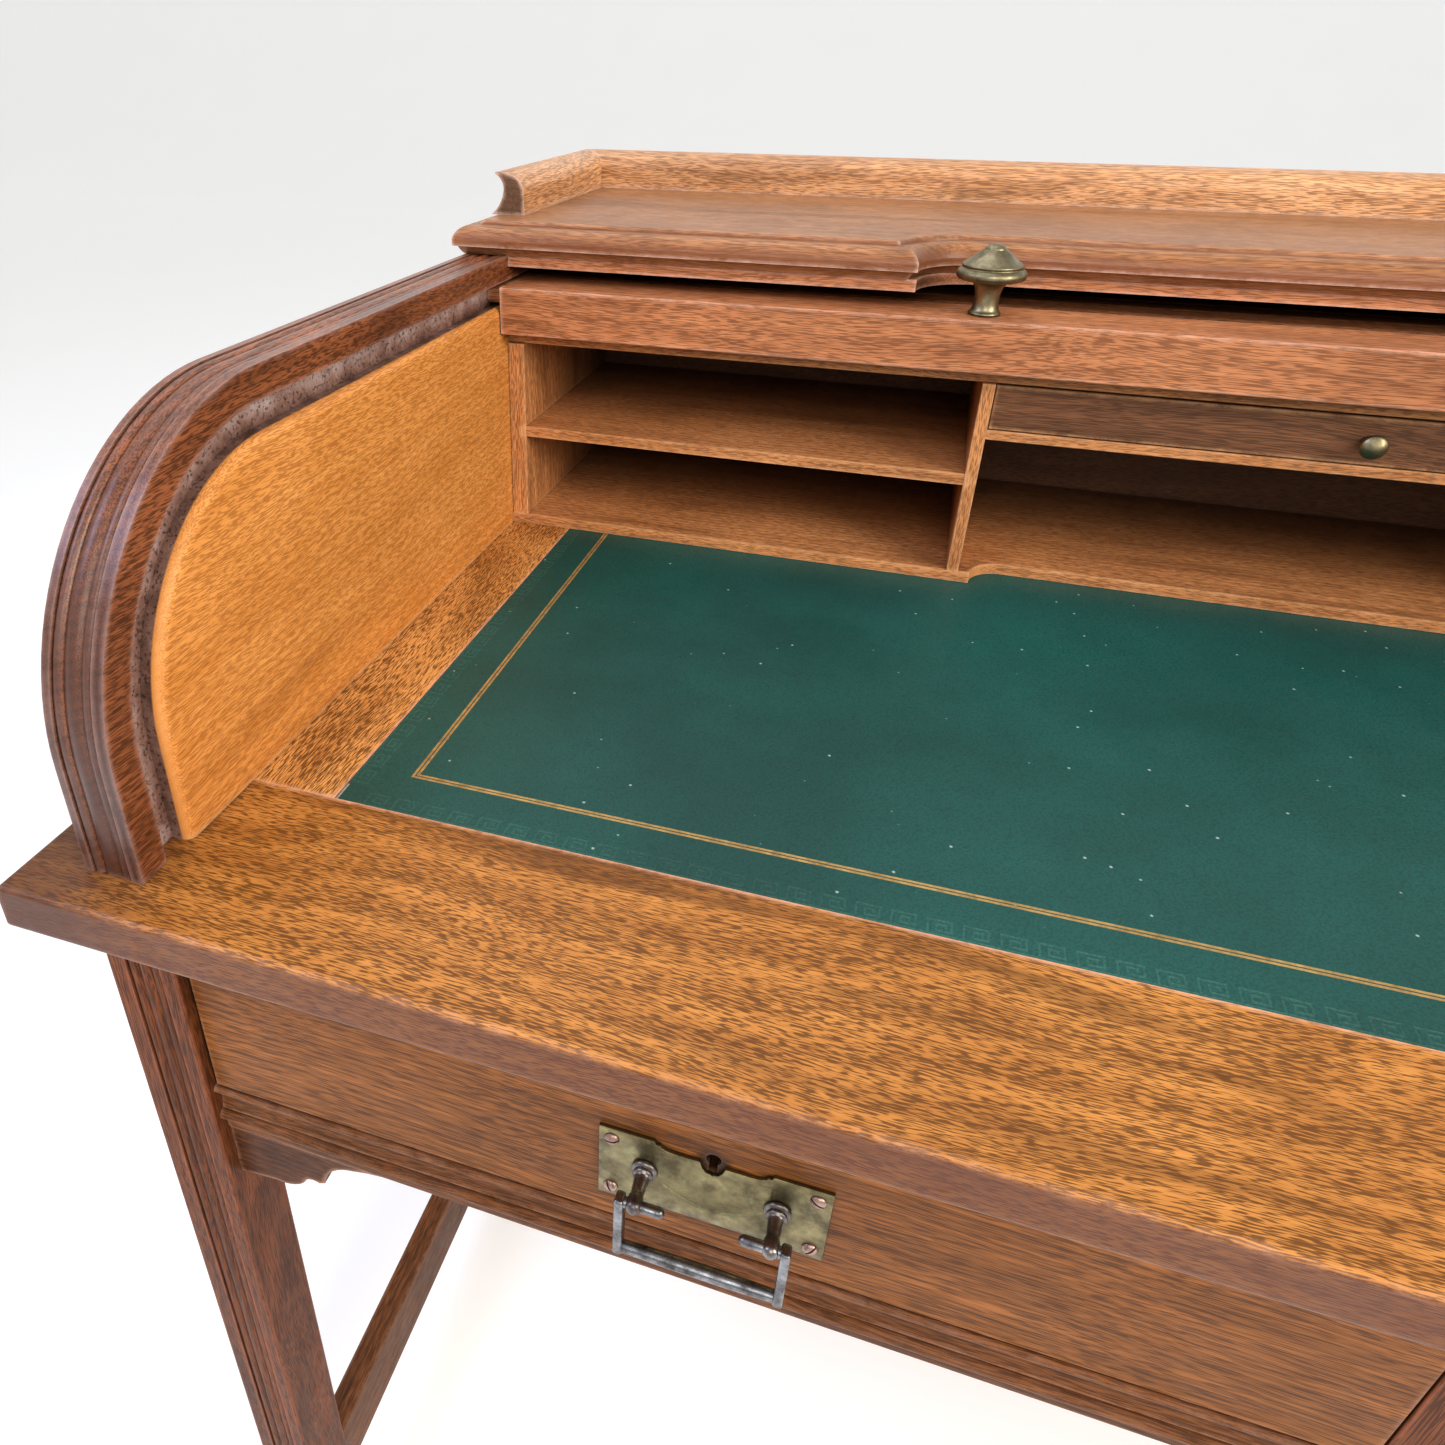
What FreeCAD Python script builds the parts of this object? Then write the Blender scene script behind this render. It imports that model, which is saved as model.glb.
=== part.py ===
"""Roll top desk: a framed writing table with two drawers, and a tambour case on its back half.

Frame: origin at the middle of the footprint on the floor, X across the width, the front at -Y, Z up.
Left and right are as seen from the chair. All sizes are in millimetres.
"""
import FreeCAD, Part

import math
import os

from FreeCAD import Vector

# ---------------------------------------------------------------- driving dimensions
desk_width = 1220.0
desk_depth = 724.0
desktop_height = 762.0
top_thickness = 26.0

leg_size = 41.0
leg_inset_side = 16.0
leg_inset_front = 31.0

drawer_zone = 132.7          # height of the drawer opening under the top
rail_height = 38.0           # moulded rail under the drawers
rail_thickness = 25.0
face_inset = 38.0            # drawer fronts and rail lie this far behind the edge of the top
stile_width = 28.0
apron_thickness = 20.0
tenon_length = 18.0
tenon_thickness = 9.0

stretcher_top = 112.0
stretcher_depth = 62.0
stretcher_thickness = 21.0

frame_board_side = 111.5     # width of the side boards of the framed top
frame_board_front = 106.0
leather_thickness = 1.6

drawer_gap = 0.8
drawer_front_thickness = 20.0
drawer_side_thickness = 10.0
drawer_length = 450.0
drawer_bottom_thickness = 6.0
runner_top_drop = 3.7        # runner tops lie this far above the foot of the drawer fronts

roll_outer_face = 31.3       # from the end of the top to the outer face of the roll-top side
roll_land_face = 62.6        # to the inner land beside the tambour groove
roll_lining_face = 64.6      # to the face of the inner lining
roll_groove_floor = 53.6
lining_edge_round = 5.0
roll_center_y = 164.2        # centre of the roll's curve, behind the front edge of the top
roll_center_z = 56.5         # and above the desktop
roll_radius = 141.5
groove_outer_radius = 125.0
groove_inner_radius = 109.5
rear_bend_radius = 65.0
case_back_edge = 720.0
rear_land = 18.0
case_back_thickness = 12.0

gallery_front = 466.0
gallery_overhang = 7.9
gallery_thickness = 21.5
gallery_rail_front = 510.0
gallery_rail_inner_x = 61.3
gallery_rail_inner_y = 696.0
knob_recess_start = 341.5
knob_recess_depth = 38.0
frieze_front = 474.0
frieze_height = 7.5
frieze_width = 62.0

pigeonhole_front = 464.0
pigeonhole_back = 662.0
pigeonhole_top = 147.0       # top of the pigeonholes above the desktop
board_thin = 7.7
pigeonhole_side = 12.4
divider_x = 392.2
divider_thickness = 8.1
shelf_top = 78.3
housing_depth = 4.0
base_recess_start = 408.0
base_recess_depth = 22.0
inner_rail_top = 109.5
inner_rail_thickness = 6.5
inner_drawer_length = 170.0

lead_rail_front = 450.0
lead_rail_depth = 53.0
lead_rail_bottom = 148.5
lead_rail_top = 180.5
slat_pitch = 22.0
slat_thickness = 12.5
slat_gap = 0.6
canvas_thickness = 1.0
top_slat_count = 6
bend_slat_count = 4
tail_slat_count = 4
tongue_clearance = 0.5

tambour_knob_x = 385.0
tambour_knob_y = 475.0

handle_x = 326.6             # middle of each drawer front, from the near end of the top
handle_z = -115.0            # middle of the plate, from the desktop
plate_width = 104.0
plate_height = 47.5
plate_thickness = 2.0
post_spacing = 60.0
post_rise = 3.0              # posts above the middle of the plate
post_reach = 18.0
pin_radius = 2.5
pin_running_gap = 0.08
bail_half_width = 38.6
bail_drop = 33.0
bail_bar_radius = 3.3
keyhole_z = -94.0

# ---------------------------------------------------------------- derived places in the frame
left = -desk_width / 2
front = -desk_depth / 2
back = desk_depth / 2
frame_under = desktop_height - top_thickness
rail_top_z = desktop_height - drawer_zone - top_thickness
rail_low_z = rail_top_z - rail_height
face_y = front + face_inset
leg_inner_x = left + leg_inset_side + leg_size
leg_front_y = front + leg_inset_front
runner_top_z = rail_top_z + runner_top_drop
roll_y = front + roll_center_y
roll_z = desktop_height + roll_center_z
case_top_z = roll_z + roll_radius
gallery_top_z = case_top_z + gallery_thickness
case_back_y = front + case_back_edge


# ---------------------------------------------------------------- small geometry helpers
def box(x_low, x_high, y_low, y_high, z_low, z_high):
    return Part.makeBox(x_high - x_low, y_high - y_low, z_high - z_low, Vector(x_low, y_low, z_low))


def on_plane(plane, level, first, second):
    if plane == "xy":
        return Vector(first, second, level)
    if plane == "xz":
        return Vector(first, level, second)
    return Vector(level, first, second)


def outline(plane, level, start, moves):
    """A closed face: each move is a point to go straight to, or (middle, end) of an arc."""
    edges = []
    here = on_plane(plane, level, *start)
    first = here
    for move in moves:
        if isinstance(move[0], tuple):
            middle = on_plane(plane, level, *move[0])
            end = on_plane(plane, level, *move[1])
            edges.append(Part.Arc(here, middle, end).toShape())
        else:
            end = on_plane(plane, level, *move)
            edges.append(Part.LineSegment(here, end).toShape())
        here = end
    if here.distanceToPoint(first) > 1e-6:
        edges.append(Part.LineSegment(here, first).toShape())
    return Part.Face(Part.Wire(edges))


def mirrored(shape):
    return shape.mirror(Vector(0, 0, 0), Vector(1, 0, 0))


def both_sides(shape):
    return [shape, mirrored(shape)]


def fused(shapes):
    return shapes[0].fuse(shapes[1:]).removeSplitter() if len(shapes) > 1 else shapes[0]


def softened(shape, radius, chosen):
    edges = [edge for edge in shape.Edges if chosen(edge)]
    return shape.makeFillet(radius, edges)


def along(edge, axis):
    """True for a straight edge along one axis."""
    if len(edge.Vertexes) != 2:
        return False
    run = edge.Vertexes[1].Point - edge.Vertexes[0].Point
    return abs(abs(getattr(run, axis)) - run.Length) < 1e-6


def middle_of(edge):
    return edge.valueAt((edge.FirstParameter + edge.LastParameter) / 2)


def turned(axis_point, direction, profile):
    """A solid of revolution from (distance along the axis, radius) moves, closed on the axis."""
    start, moves = profile
    face = outline("yz", 0.0, start, moves)
    solid = face.revolve(Vector(0, 0, 0), Vector(0, 1, 0), 360)
    solid.Placement = FreeCAD.Placement(axis_point, FreeCAD.Rotation(Vector(0, 1, 0), direction))
    return solid


def dome_to(start, tip):
    """Arc move from a point of a turned profile to its tip on the axis, as part of a sphere."""
    along_axis, radius = start
    center = (along_axis ** 2 + radius ** 2 - tip ** 2) / (2 * (along_axis - tip))
    sphere = tip - center
    half_angle = math.atan2(radius, abs(along_axis - center)) / 2
    side = math.copysign(1.0, sphere)
    return (center + side * abs(sphere) * math.cos(half_angle), abs(sphere) * math.sin(half_angle)), (tip, 0.0)


def bead_moves(start, widths, depth, crown):
    """Moves along a reeded band: one convex bead for each width, with sharp valleys between."""
    moves = []
    here = start
    for width in widths:
        moves.append(((here + width / 2, -crown), (here + width, -depth)))
        here += width
    return moves


# ---------------------------------------------------------------- table frame
reed_depth = 2.0
reed_crown = 0.4
leg_reed_start = 0.28
leg_reed_widths = (6.4, 7.6, 6.4)


def front_leg():
    """Square leg whose front face has three reeds between plain bands."""
    outer = left + leg_inset_side
    reed_start = outer + leg_size * leg_reed_start
    reeds = bead_moves(0.0, leg_reed_widths, reed_depth, reed_crown)
    moves = [(reed_start, leg_front_y), (reed_start, leg_front_y + reed_depth)]
    for middle, end in reeds:
        bead_top = (reed_start + middle[0], leg_front_y - middle[1])
        bead_end = (reed_start + end[0], leg_front_y - end[1])
        moves.append((bead_top, bead_end))
    moves.append((reed_start + sum(leg_reed_widths), leg_front_y))
    moves.append((outer + leg_size, leg_front_y))
    moves.append((outer + leg_size, leg_front_y + leg_size))
    moves.append((outer, leg_front_y + leg_size))
    face = outline("xy", 0.0, (outer, leg_front_y), moves)
    leg = face.extrude(Vector(0, 0, frame_under))
    leg = leg.cut(fused([side_apron_tenon(-1), side_stretcher_tenon(-1)]))
    return softened(leg, 1.2, lambda edge: along(edge, "z") and edge.Length > 700 and on_corner(edge, leg_front_y))


def on_corner(edge, near_y):
    place = middle_of(edge)
    at_x = min(abs(place.x - left - leg_inset_side), abs(place.x - leg_inner_x)) < 0.01
    at_y = min(abs(place.y - near_y), abs(place.y - near_y - leg_size)) < 0.01
    return at_x and at_y


def back_leg():
    near_y = -leg_front_y - leg_size
    outer = left + leg_inset_side
    leg = box(outer, leg_inner_x, near_y, -leg_front_y, 0.0, frame_under)
    leg = leg.cut(fused([side_apron_tenon(1), side_stretcher_tenon(1), back_apron_tenon()]))
    return softened(leg, 1.2, lambda edge: along(edge, "z") and edge.Length > 700 and on_corner(edge, near_y))


apron_outer_x = left + leg_inset_side + 4.0
leg_gap_y = -(leg_front_y + leg_size)          # legs' inner faces lie at plus and minus this
stretcher_x = left + leg_inset_side + leg_size / 2


def side_apron_tenon(end):
    """Tenon of the side apron in the front leg (end -1) or the back leg (end 1)."""
    low_y = min(end * leg_gap_y, end * (leg_gap_y + tenon_length))
    middle_x = apron_outer_x + apron_thickness / 2
    return box(middle_x - tenon_thickness / 2, middle_x + tenon_thickness / 2, low_y, low_y + tenon_length,
               rail_low_z + 20, frame_under - 20)


def side_apron():
    body = box(apron_outer_x, apron_outer_x + apron_thickness, -leg_gap_y, leg_gap_y, rail_low_z, frame_under)
    body = softened(body, 1.2, lambda edge: along(edge, "y") and middle_of(edge).z < rail_low_z + 1)
    return fused([body, side_apron_tenon(-1), side_apron_tenon(1)])


back_apron_y = leg_gap_y + 10.0


def back_apron_tenon():
    middle_y = back_apron_y + apron_thickness / 2
    return box(leg_inner_x - tenon_length, leg_inner_x, middle_y - tenon_thickness / 2,
               middle_y + tenon_thickness / 2, rail_low_z + 20, frame_under - 40)


def back_apron():
    body = box(leg_inner_x, -leg_inner_x, back_apron_y, back_apron_y + apron_thickness, rail_low_z, frame_under)
    return fused([body] + both_sides(back_apron_tenon()))


def side_stretcher_tenon(end):
    low_y = min(end * leg_gap_y, end * (leg_gap_y + tenon_length))
    return box(stretcher_x - tenon_thickness / 2, stretcher_x + tenon_thickness / 2, low_y, low_y + tenon_length,
               stretcher_top - stretcher_depth + 12, stretcher_top - 12)


cross_stretcher_y = 110.0


def cross_stretcher_tenon():
    return box(stretcher_x, stretcher_x + stretcher_thickness / 2, cross_stretcher_y - tenon_thickness / 2,
               cross_stretcher_y + tenon_thickness / 2, stretcher_top - stretcher_depth + 12, stretcher_top - 12)


def side_stretcher():
    half = stretcher_thickness / 2
    body = box(stretcher_x - half, stretcher_x + half, -leg_gap_y, leg_gap_y,
               stretcher_top - stretcher_depth, stretcher_top)
    body = softened(body, 1.5, lambda edge: along(edge, "y"))
    return fused([body, side_stretcher_tenon(-1), side_stretcher_tenon(1)]).cut(cross_stretcher_tenon())


def cross_stretcher():
    half = stretcher_thickness / 2
    end_x = stretcher_x + half
    body = box(end_x, -end_x, cross_stretcher_y - half, cross_stretcher_y + half,
               stretcher_top - stretcher_depth, stretcher_top)
    body = softened(body, 1.5, lambda edge: along(edge, "x"))
    return fused([body] + both_sides(cross_stretcher_tenon()))


def front_rail():
    """Rail under the drawers: a bead on top, a shallow hollow, a stronger bead and a plain foot."""
    y = face_y
    top = rail_top_z
    moves = [
        (y + 0.4, top),
        ((y - 2.0, top - 2.5), (y + 0.6, top - 5.0)),
        ((y + 2.4, top - 12.0), (y + 1.0, top - 19.5)),
        (y + 2.4, top - 20.5),
        ((y - 2.4, top - 24.0), (y + 1.6, top - 27.5)),
        (y + 2.0, top - rail_height + 1.5),
        ((y + 2.4, top - rail_height + 0.4), (y + 3.5, top - rail_height)),
        (y + rail_thickness, top - rail_height),
    ]
    face = outline("yz", leg_inner_x, (y + rail_thickness, top), moves)
    return face.extrude(Vector(-2 * leg_inner_x, 0, 0))


bracket_drop = 41.0
bracket_reach = 105.0


def rail_bracket():
    """Shaped bracket in the corner of the left front leg and the rail."""
    x = leg_inner_x
    z = rail_low_z
    moves = [
        (x, z - bracket_drop),
        (x + 24, z - bracket_drop + 2.5),
        ((x + 36, z - bracket_drop + 4), (x + 45, z - bracket_drop + 13)),
        ((x + 50, z - bracket_drop + 14.5), (x + 53, z - bracket_drop + 13.5)),
        (x + 57, z - bracket_drop + 15.5),
        ((x + 63, z - bracket_drop + 29), (x + 76, z - bracket_drop + 36)),
        ((x + 90, z - 1.6), (x + bracket_reach, z)),
    ]
    face = outline("xz", face_y + 3.0, (x, z), moves)
    return face.extrude(Vector(0, rail_thickness - 6, 0))


def centre_stile():
    half = stile_width / 2
    body = box(-half, half, face_y, face_y + rail_thickness, rail_top_z, frame_under)
    return softened(body, 0.8, lambda edge: along(edge, "z") and middle_of(edge).y < face_y + 1)


runner_start_y = face_y + rail_thickness
drawer_side_outer_x = leg_inner_x + 7.0
drawer_side_inner_x = -stile_width / 2 - 7.0
runner_height = 13.0
guide_height = 33.0
guide_gap = 1.0


def drawer_runners():
    """Rebated bars that carry the drawer sides and keep them from moving sideways."""
    low = runner_top_z - runner_height
    guide_top = runner_top_z + guide_height
    wall_x = apron_outer_x + apron_thickness
    middle_half = -drawer_side_inner_x - guide_gap
    outer_bar = box(wall_x, drawer_side_outer_x + 18, -leg_gap_y, leg_gap_y, low, runner_top_z)
    outer_guide = box(wall_x, drawer_side_outer_x - guide_gap, -leg_gap_y, leg_gap_y, runner_top_z, guide_top)
    middle_bar = box(-36, 36, runner_start_y, back_apron_y, low, runner_top_z)
    middle_guide = box(-middle_half, middle_half, runner_start_y, back_apron_y, runner_top_z, guide_top)
    outer = fused([outer_bar, outer_guide])
    return Part.makeCompound(both_sides(outer) + [fused([middle_bar, middle_guide])])


# ---------------------------------------------------------------- framed top
top_arris = 2.6
top_under_round = 4.5


def eased_board(x_low, x_high, y_low, y_high, outer_faces):
    """A board of the framed top, rounded along the edges that lie on the outside of the desk."""
    board = box(x_low, x_high, y_low, y_high, frame_under, desktop_height)

    def outside(edge):
        place = middle_of(edge)
        return any(abs(getattr(place, axis) - value) < 0.01 for axis, value in outer_faces)

    board = softened(board, top_arris, lambda edge: outside(edge) and middle_of(edge).z > desktop_height - 0.01)
    return softened(board, top_under_round, lambda edge: outside(edge) and middle_of(edge).z < frame_under + 0.01
                    and edge.Length > 20)


leather_left = left + frame_board_side
leather_front = front + frame_board_front
leather_back = -leather_front


def top_front_board():
    return eased_board(left, -left, front, leather_front, [("y", front), ("x", left), ("x", -left)])


def top_side_board():
    return eased_board(left, leather_left, leather_front, back, [("x", left)])


def top_back_board():
    return box(leather_left, -leather_left, leather_back, back, frame_under, desktop_height)


def top_ground():
    return box(leather_left, -leather_left, leather_front, leather_back, frame_under,
               desktop_height - leather_thickness)


def leather_panel():
    return box(leather_left + 0.4, -leather_left - 0.4, leather_front + 0.4, leather_back - 0.4,
               desktop_height - leather_thickness, desktop_height - 0.3)


# ---------------------------------------------------------------- roll-top case
def roll_shape(x_low, x_high, radius, back_y, bend_radius):
    """Solid with the roll's side profile: upright front, quarter round, flat top and the rear bend."""
    quarter = math.sqrt(0.5)
    top_z = roll_z + radius
    moves = [
        (roll_y - radius, roll_z),
        ((roll_y - radius * quarter, roll_z + radius * quarter), (roll_y, top_z)),
        (back_y - bend_radius, top_z),
    ]
    if bend_radius > 0:
        bend_middle = (back_y - bend_radius + bend_radius * quarter, top_z - bend_radius + bend_radius * quarter)
        moves.append((bend_middle, (back_y, top_z - bend_radius)))
    moves.append((back_y, desktop_height))
    face = outline("yz", x_low, (roll_y - radius, desktop_height), moves)
    return face.extrude(Vector(x_high - x_low, 0, 0))


rim_outer_band = 4.2
rim_bead_widths = (5.6, 9.4, 5.8)
rim_bead_depth = 2.2
rim_bead_crown = 0.3
groove_back_y = case_back_y - rear_land


def rim_reed_cutter():
    """What is cut away along the roll's edge to leave its reeds."""
    reed_start = left + roll_outer_face + rim_outer_band
    reed_end = reed_start + sum(rim_bead_widths)
    reeds = bead_moves(0.0, rim_bead_widths, rim_bead_depth, rim_bead_crown)
    above = 3.0

    def section(place):
        moves = [place(reed_start, -rim_bead_depth)]
        for middle, end in reeds:
            moves.append((place(reed_start + middle[0], middle[1]), place(reed_start + end[0], end[1])))
        moves.append(place(reed_end, above))
        return place(reed_start, above), moves

    start, moves = section(lambda x, rise: (x, roll_y - roll_radius - rise))
    upright = outline("xy", desktop_height - 1, start, moves).extrude(Vector(0, 0, roll_center_z + 1))
    start, moves = section(lambda x, rise: (x, roll_z + roll_radius + rise))
    crown_face = outline("xz", roll_y, start, moves)
    bend = crown_face.revolve(Vector(0, roll_y, roll_z), Vector(1, 0, 0), 90)
    level = crown_face.extrude(Vector(0, case_back_y + 1 - roll_y, 0))
    return [upright, bend, level]


def roll_side():
    """Left side of the case: a thin web, and a thick reeded rim that leaves the tambour groove open."""
    outer_x = left + roll_outer_face
    floor_x = left + roll_groove_floor
    land_x = left + roll_land_face
    web = roll_shape(outer_x, floor_x, roll_radius, case_back_y, 0.0)
    rim = roll_shape(floor_x, land_x, roll_radius, case_back_y, 0.0)
    hollow = roll_shape(floor_x - 1, land_x + 1, groove_outer_radius, groove_back_y, rear_bend_radius)
    hollow = hollow.cut(roll_shape(floor_x - 2, floor_x, groove_outer_radius, groove_back_y, rear_bend_radius))
    side = fused([web, rim.cut(hollow)])
    for cutter in rim_reed_cutter():
        side = side.cut(cutter)
    return side


def groove_lining():
    """Inner lining of the left side; its edge is the inner wall of the tambour groove."""
    floor_x = left + roll_groove_floor
    face_x = left + roll_lining_face
    groove_width = groove_outer_radius - groove_inner_radius
    lining = roll_shape(floor_x, face_x, groove_inner_radius, groove_back_y - groove_width,
                        rear_bend_radius - groove_width)
    return softened(lining, lining_edge_round, lambda edge: abs(middle_of(edge).x - face_x) < 0.01
                    and middle_of(edge).z > desktop_height + 1 and middle_of(edge).y < groove_back_y - 60)


def case_back():
    side_x = left + roll_land_face
    return box(side_x, -side_x, case_back_y - case_back_thickness, case_back_y, desktop_height, case_top_z)


gallery_left = left + roll_outer_face - gallery_overhang
gallery_front_y = front + gallery_front
recess_left = left + knob_recess_start
step_run = 20.0               # from the nosing back to the flat top of the board


def edge_moves(place):
    """Moulded edge from the underside up: cavetto, nosing, ovolo, step and bead.
    place(in, up) gives a point that lies that far in from the tip and up from the underside."""
    return [
        (place(4.6, 2.2), place(3.0, 5.2)),
        place(0.0, 5.6),
        place(0.0, 10.2),
        (place(3.6, 16.0), place(13.0, 18.4)),
        place(16.0, 18.4),
        (place(17.2, 20.6), place(step_run, gallery_thickness)),
    ]


def gallery_board():
    """Board on top of the case: moulded on three edges, with a coved recess for the lead rail's knobs."""
    low = case_top_z

    def front_place(inward, up):
        return gallery_front_y + inward, low + up

    def side_place(inward, up):
        return gallery_left + inward, low + up

    back_edge = front + case_back_edge + 2
    moves = edge_moves(front_place) + [(back_edge, low + gallery_thickness), (back_edge, low)]
    board = outline("yz", gallery_left - 5, front_place(6.4, 0.0), moves)
    board = board.extrude(Vector(-2 * (gallery_left - 5), 0, 0))
    moves = edge_moves(side_place) + [(20.0, low + gallery_thickness), (20.0, low)]
    flank = outline("xz", gallery_front_y - 5, side_place(6.4, 0.0), moves)
    flank = flank.extrude(Vector(0, case_back_edge - gallery_front + 20, 0))
    board = board.common(fused(both_sides(flank)))
    air = recess_air(low - 1, low, gallery_thickness, edge_moves, 6.4, gallery_front_y)
    return board.cut(air).removeSplitter()


def recess_air(bottom_z, low, height, moves_of, start_in, face):
    """The air in front of the recess: two turned corners with a straight run between them."""
    corner_x = recess_left + knob_recess_depth
    past_front = 180.0

    def turned_place(inward, up):
        return knob_recess_depth + inward, low + up

    def straight_place(inward, up):
        return face + knob_recess_depth + inward, low + up

    def air(place, inner):
        start = place(start_in, 0.0)
        moves = moves_of(place)
        last = moves[-1][1] if isinstance(moves[-1][0], tuple) else moves[-1]
        moves = moves + [(last[0], low + height + 5), (inner, low + height + 5), (inner, bottom_z)]
        moves.append((start[0], bottom_z))
        return start, moves

    start, moves = air(turned_place, 0.0)
    corner = outline("yz", 0.0, start, moves).revolve(Vector(0, 0, 0), Vector(0, 0, 1), past_front)
    corner = corner.translated(Vector(corner_x, face, 0))
    start, moves = air(straight_place, face - 5)
    run = outline("yz", corner_x, start, moves).extrude(Vector(-2 * corner_x, 0, 0))
    return fused([run] + both_sides(corner))


def frieze_rail():
    """Flat rail under the gallery board, above the tambour, that follows the board's recess."""
    side_x = left + roll_land_face
    face = front + frieze_front
    low = case_top_z - frieze_height
    rail = box(side_x, -side_x, face, face + frieze_width, low, case_top_z)

    def plain(place):
        return [place(0.0, frieze_height)]

    return rail.cut(recess_air(low - 1, low, frieze_height, plain, 0.0, face))


def gallery_section(plane, level, inner, outward):
    """Section of a gallery rail: a thick foot, a waist and a lip that turns outwards."""
    low = gallery_top_z

    def place(out, up):
        return inner + outward * out, low + up

    moves = [
        place(0.4, 17.0),
        (place(3.0, 22.4), place(9.4, 26.4)),
        (place(14.8, 27.9), place(20.2, 28.5)),
        (place(21.4, 27.9), place(20.8, 26.6)),
        (place(16.6, 22.6), place(15.2, 17.0)),
        (place(18.2, 8.0), place(25.4, 0.0)),
    ]
    return outline(plane, level, place(0.0, 0.0), moves)


def mitre_wedge():
    """Everything behind the mitre at the left back corner of the gallery."""
    inner_x = left + gallery_rail_inner_x
    inner_y = front + gallery_rail_inner_y
    reach = 80.0
    face = outline("xy", gallery_top_z - 5, (inner_x + reach, inner_y - reach),
                   [(inner_x - reach, inner_y + reach), (inner_x + reach, inner_y + reach)])
    return face.extrude(Vector(0, 0, 60))


def gallery_side_rail():
    start_y = front + gallery_rail_front
    section = gallery_section("xz", start_y, left + gallery_rail_inner_x, -1)
    rail = section.extrude(Vector(0, desk_depth - gallery_rail_front + 10, 0))
    return rail.cut(mitre_wedge())


def gallery_back_rail():
    inner_x = left + gallery_rail_inner_x
    inner_y = front + gallery_rail_inner_y
    section = gallery_section("yz", inner_x - 40, inner_y, 1)
    rail = section.extrude(Vector(-2 * (inner_x - 40), 0, 0))
    wedge = mitre_wedge()
    reach = 200.0
    keep = fused([wedge, mirrored(wedge), box(inner_x + 10, -inner_x - 10, inner_y - 20, inner_y + reach,
                                              gallery_top_z - 5, gallery_top_z + 55)])
    return rail.common(keep)


# ---------------------------------------------------------------- pigeonholes
hole_front_y = front + pigeonhole_front
hole_back_y = front + pigeonhole_back
lining_x = left + roll_lining_face
hole_left = lining_x + pigeonhole_side
divider_left = left + divider_x
divider_right = divider_left + divider_thickness
hole_floor_z = desktop_height + board_thin
hole_roof_z = desktop_height + pigeonhole_top
hole_ceiling_z = hole_roof_z - board_thin
shelf_z = desktop_height + shelf_top
inner_rail_z = desktop_height + inner_rail_top
edge_ease = 0.7


def front_eased(shape):
    """Takes the sharpness off the long front edges of a shelf or board."""
    low_y = shape.BoundBox.YMin
    return softened(shape, edge_ease, lambda edge: abs(middle_of(edge).y - low_y) < 0.01
                    and edge.Length > 60)


def pigeonhole_base():
    """Floor board, set back with coved corners in the middle bay."""
    base = box(lining_x, -lining_x, hole_front_y, hole_back_y, desktop_height, hole_floor_z)
    corner_x = left + base_recess_start + base_recess_depth
    low = desktop_height - 1
    corner = Part.makeCylinder(base_recess_depth, board_thin + 2, Vector(corner_x, hole_front_y, low))
    run = box(corner_x, -corner_x, hole_front_y - 30, hole_front_y + base_recess_depth, low, hole_floor_z + 1)
    for cutter in both_sides(corner) + [run]:
        base = base.cut(cutter)
    return base


def pigeonhole_end():
    panel = box(lining_x, hole_left, hole_front_y, hole_back_y, hole_floor_z, hole_ceiling_z)
    return front_eased(panel).cut(side_shelf_blank())


def divider():
    panel = box(divider_left, divider_right, hole_front_y, hole_back_y, hole_floor_z, hole_ceiling_z)
    return front_eased(panel).cut(side_shelf_blank())


def side_shelf_blank():
    return box(hole_left - housing_depth, divider_left + housing_depth, hole_front_y + 0.6, hole_back_y,
               shelf_z - board_thin, shelf_z)


def inner_rail():
    """Shelf of the middle bay that carries the small drawer."""
    return front_eased(box(divider_right, -divider_right, hole_front_y + 0.6, hole_back_y,
                           inner_rail_z - inner_rail_thickness, inner_rail_z))


def pigeonhole_top_board():
    return front_eased(box(lining_x, -lining_x, hole_front_y + 4, hole_back_y, hole_ceiling_z, hole_roof_z))


def pigeonhole_back_board():
    return box(lining_x, -lining_x, hole_back_y, hole_back_y + 8.0, desktop_height, hole_roof_z)


inner_gap = 0.5
inner_front_y = hole_front_y + 1.4
inner_front_thickness = 11.0
inner_wall = 6.0
inner_floor = 4.0
inner_knob_profile = ((0.0, 0.0), [
    (0.0, 3.6), ((-1.6, 3.2), (-3.2, 2.6)), ((-6.5, 2.4), (-8.6, 4.4)),
    ((-10.6, 7.6), (-13.4, 6.2)), dome_to((-13.4, 6.2), -16.0),
])


def inner_drawer_front():
    half = -divider_right - inner_gap
    front_board = box(-half, half, inner_front_y, inner_front_y + inner_front_thickness,
                      inner_rail_z + inner_gap, hole_ceiling_z - inner_gap)
    return softened(front_board, edge_ease, lambda edge: abs(middle_of(edge).y - inner_front_y) < 0.01)


def inner_drawer_tray():
    """Sides, back and floor of the small drawer."""
    half = -divider_right - inner_gap
    start_y = inner_front_y + inner_front_thickness
    end_y = start_y + inner_drawer_length
    low = inner_rail_z + inner_gap
    tray = box(-half, half, start_y, end_y, low, hole_ceiling_z - 4)
    hollow = box(-half + inner_wall, half - inner_wall, start_y - 1, end_y - inner_wall,
                 low + inner_floor, hole_ceiling_z)
    return tray.cut(hollow)


def inner_drawer_knob():
    middle_z = (inner_rail_z + hole_ceiling_z) / 2
    return turned(Vector(0, inner_front_y, middle_z), Vector(0, 1, 0), inner_knob_profile)


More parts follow.
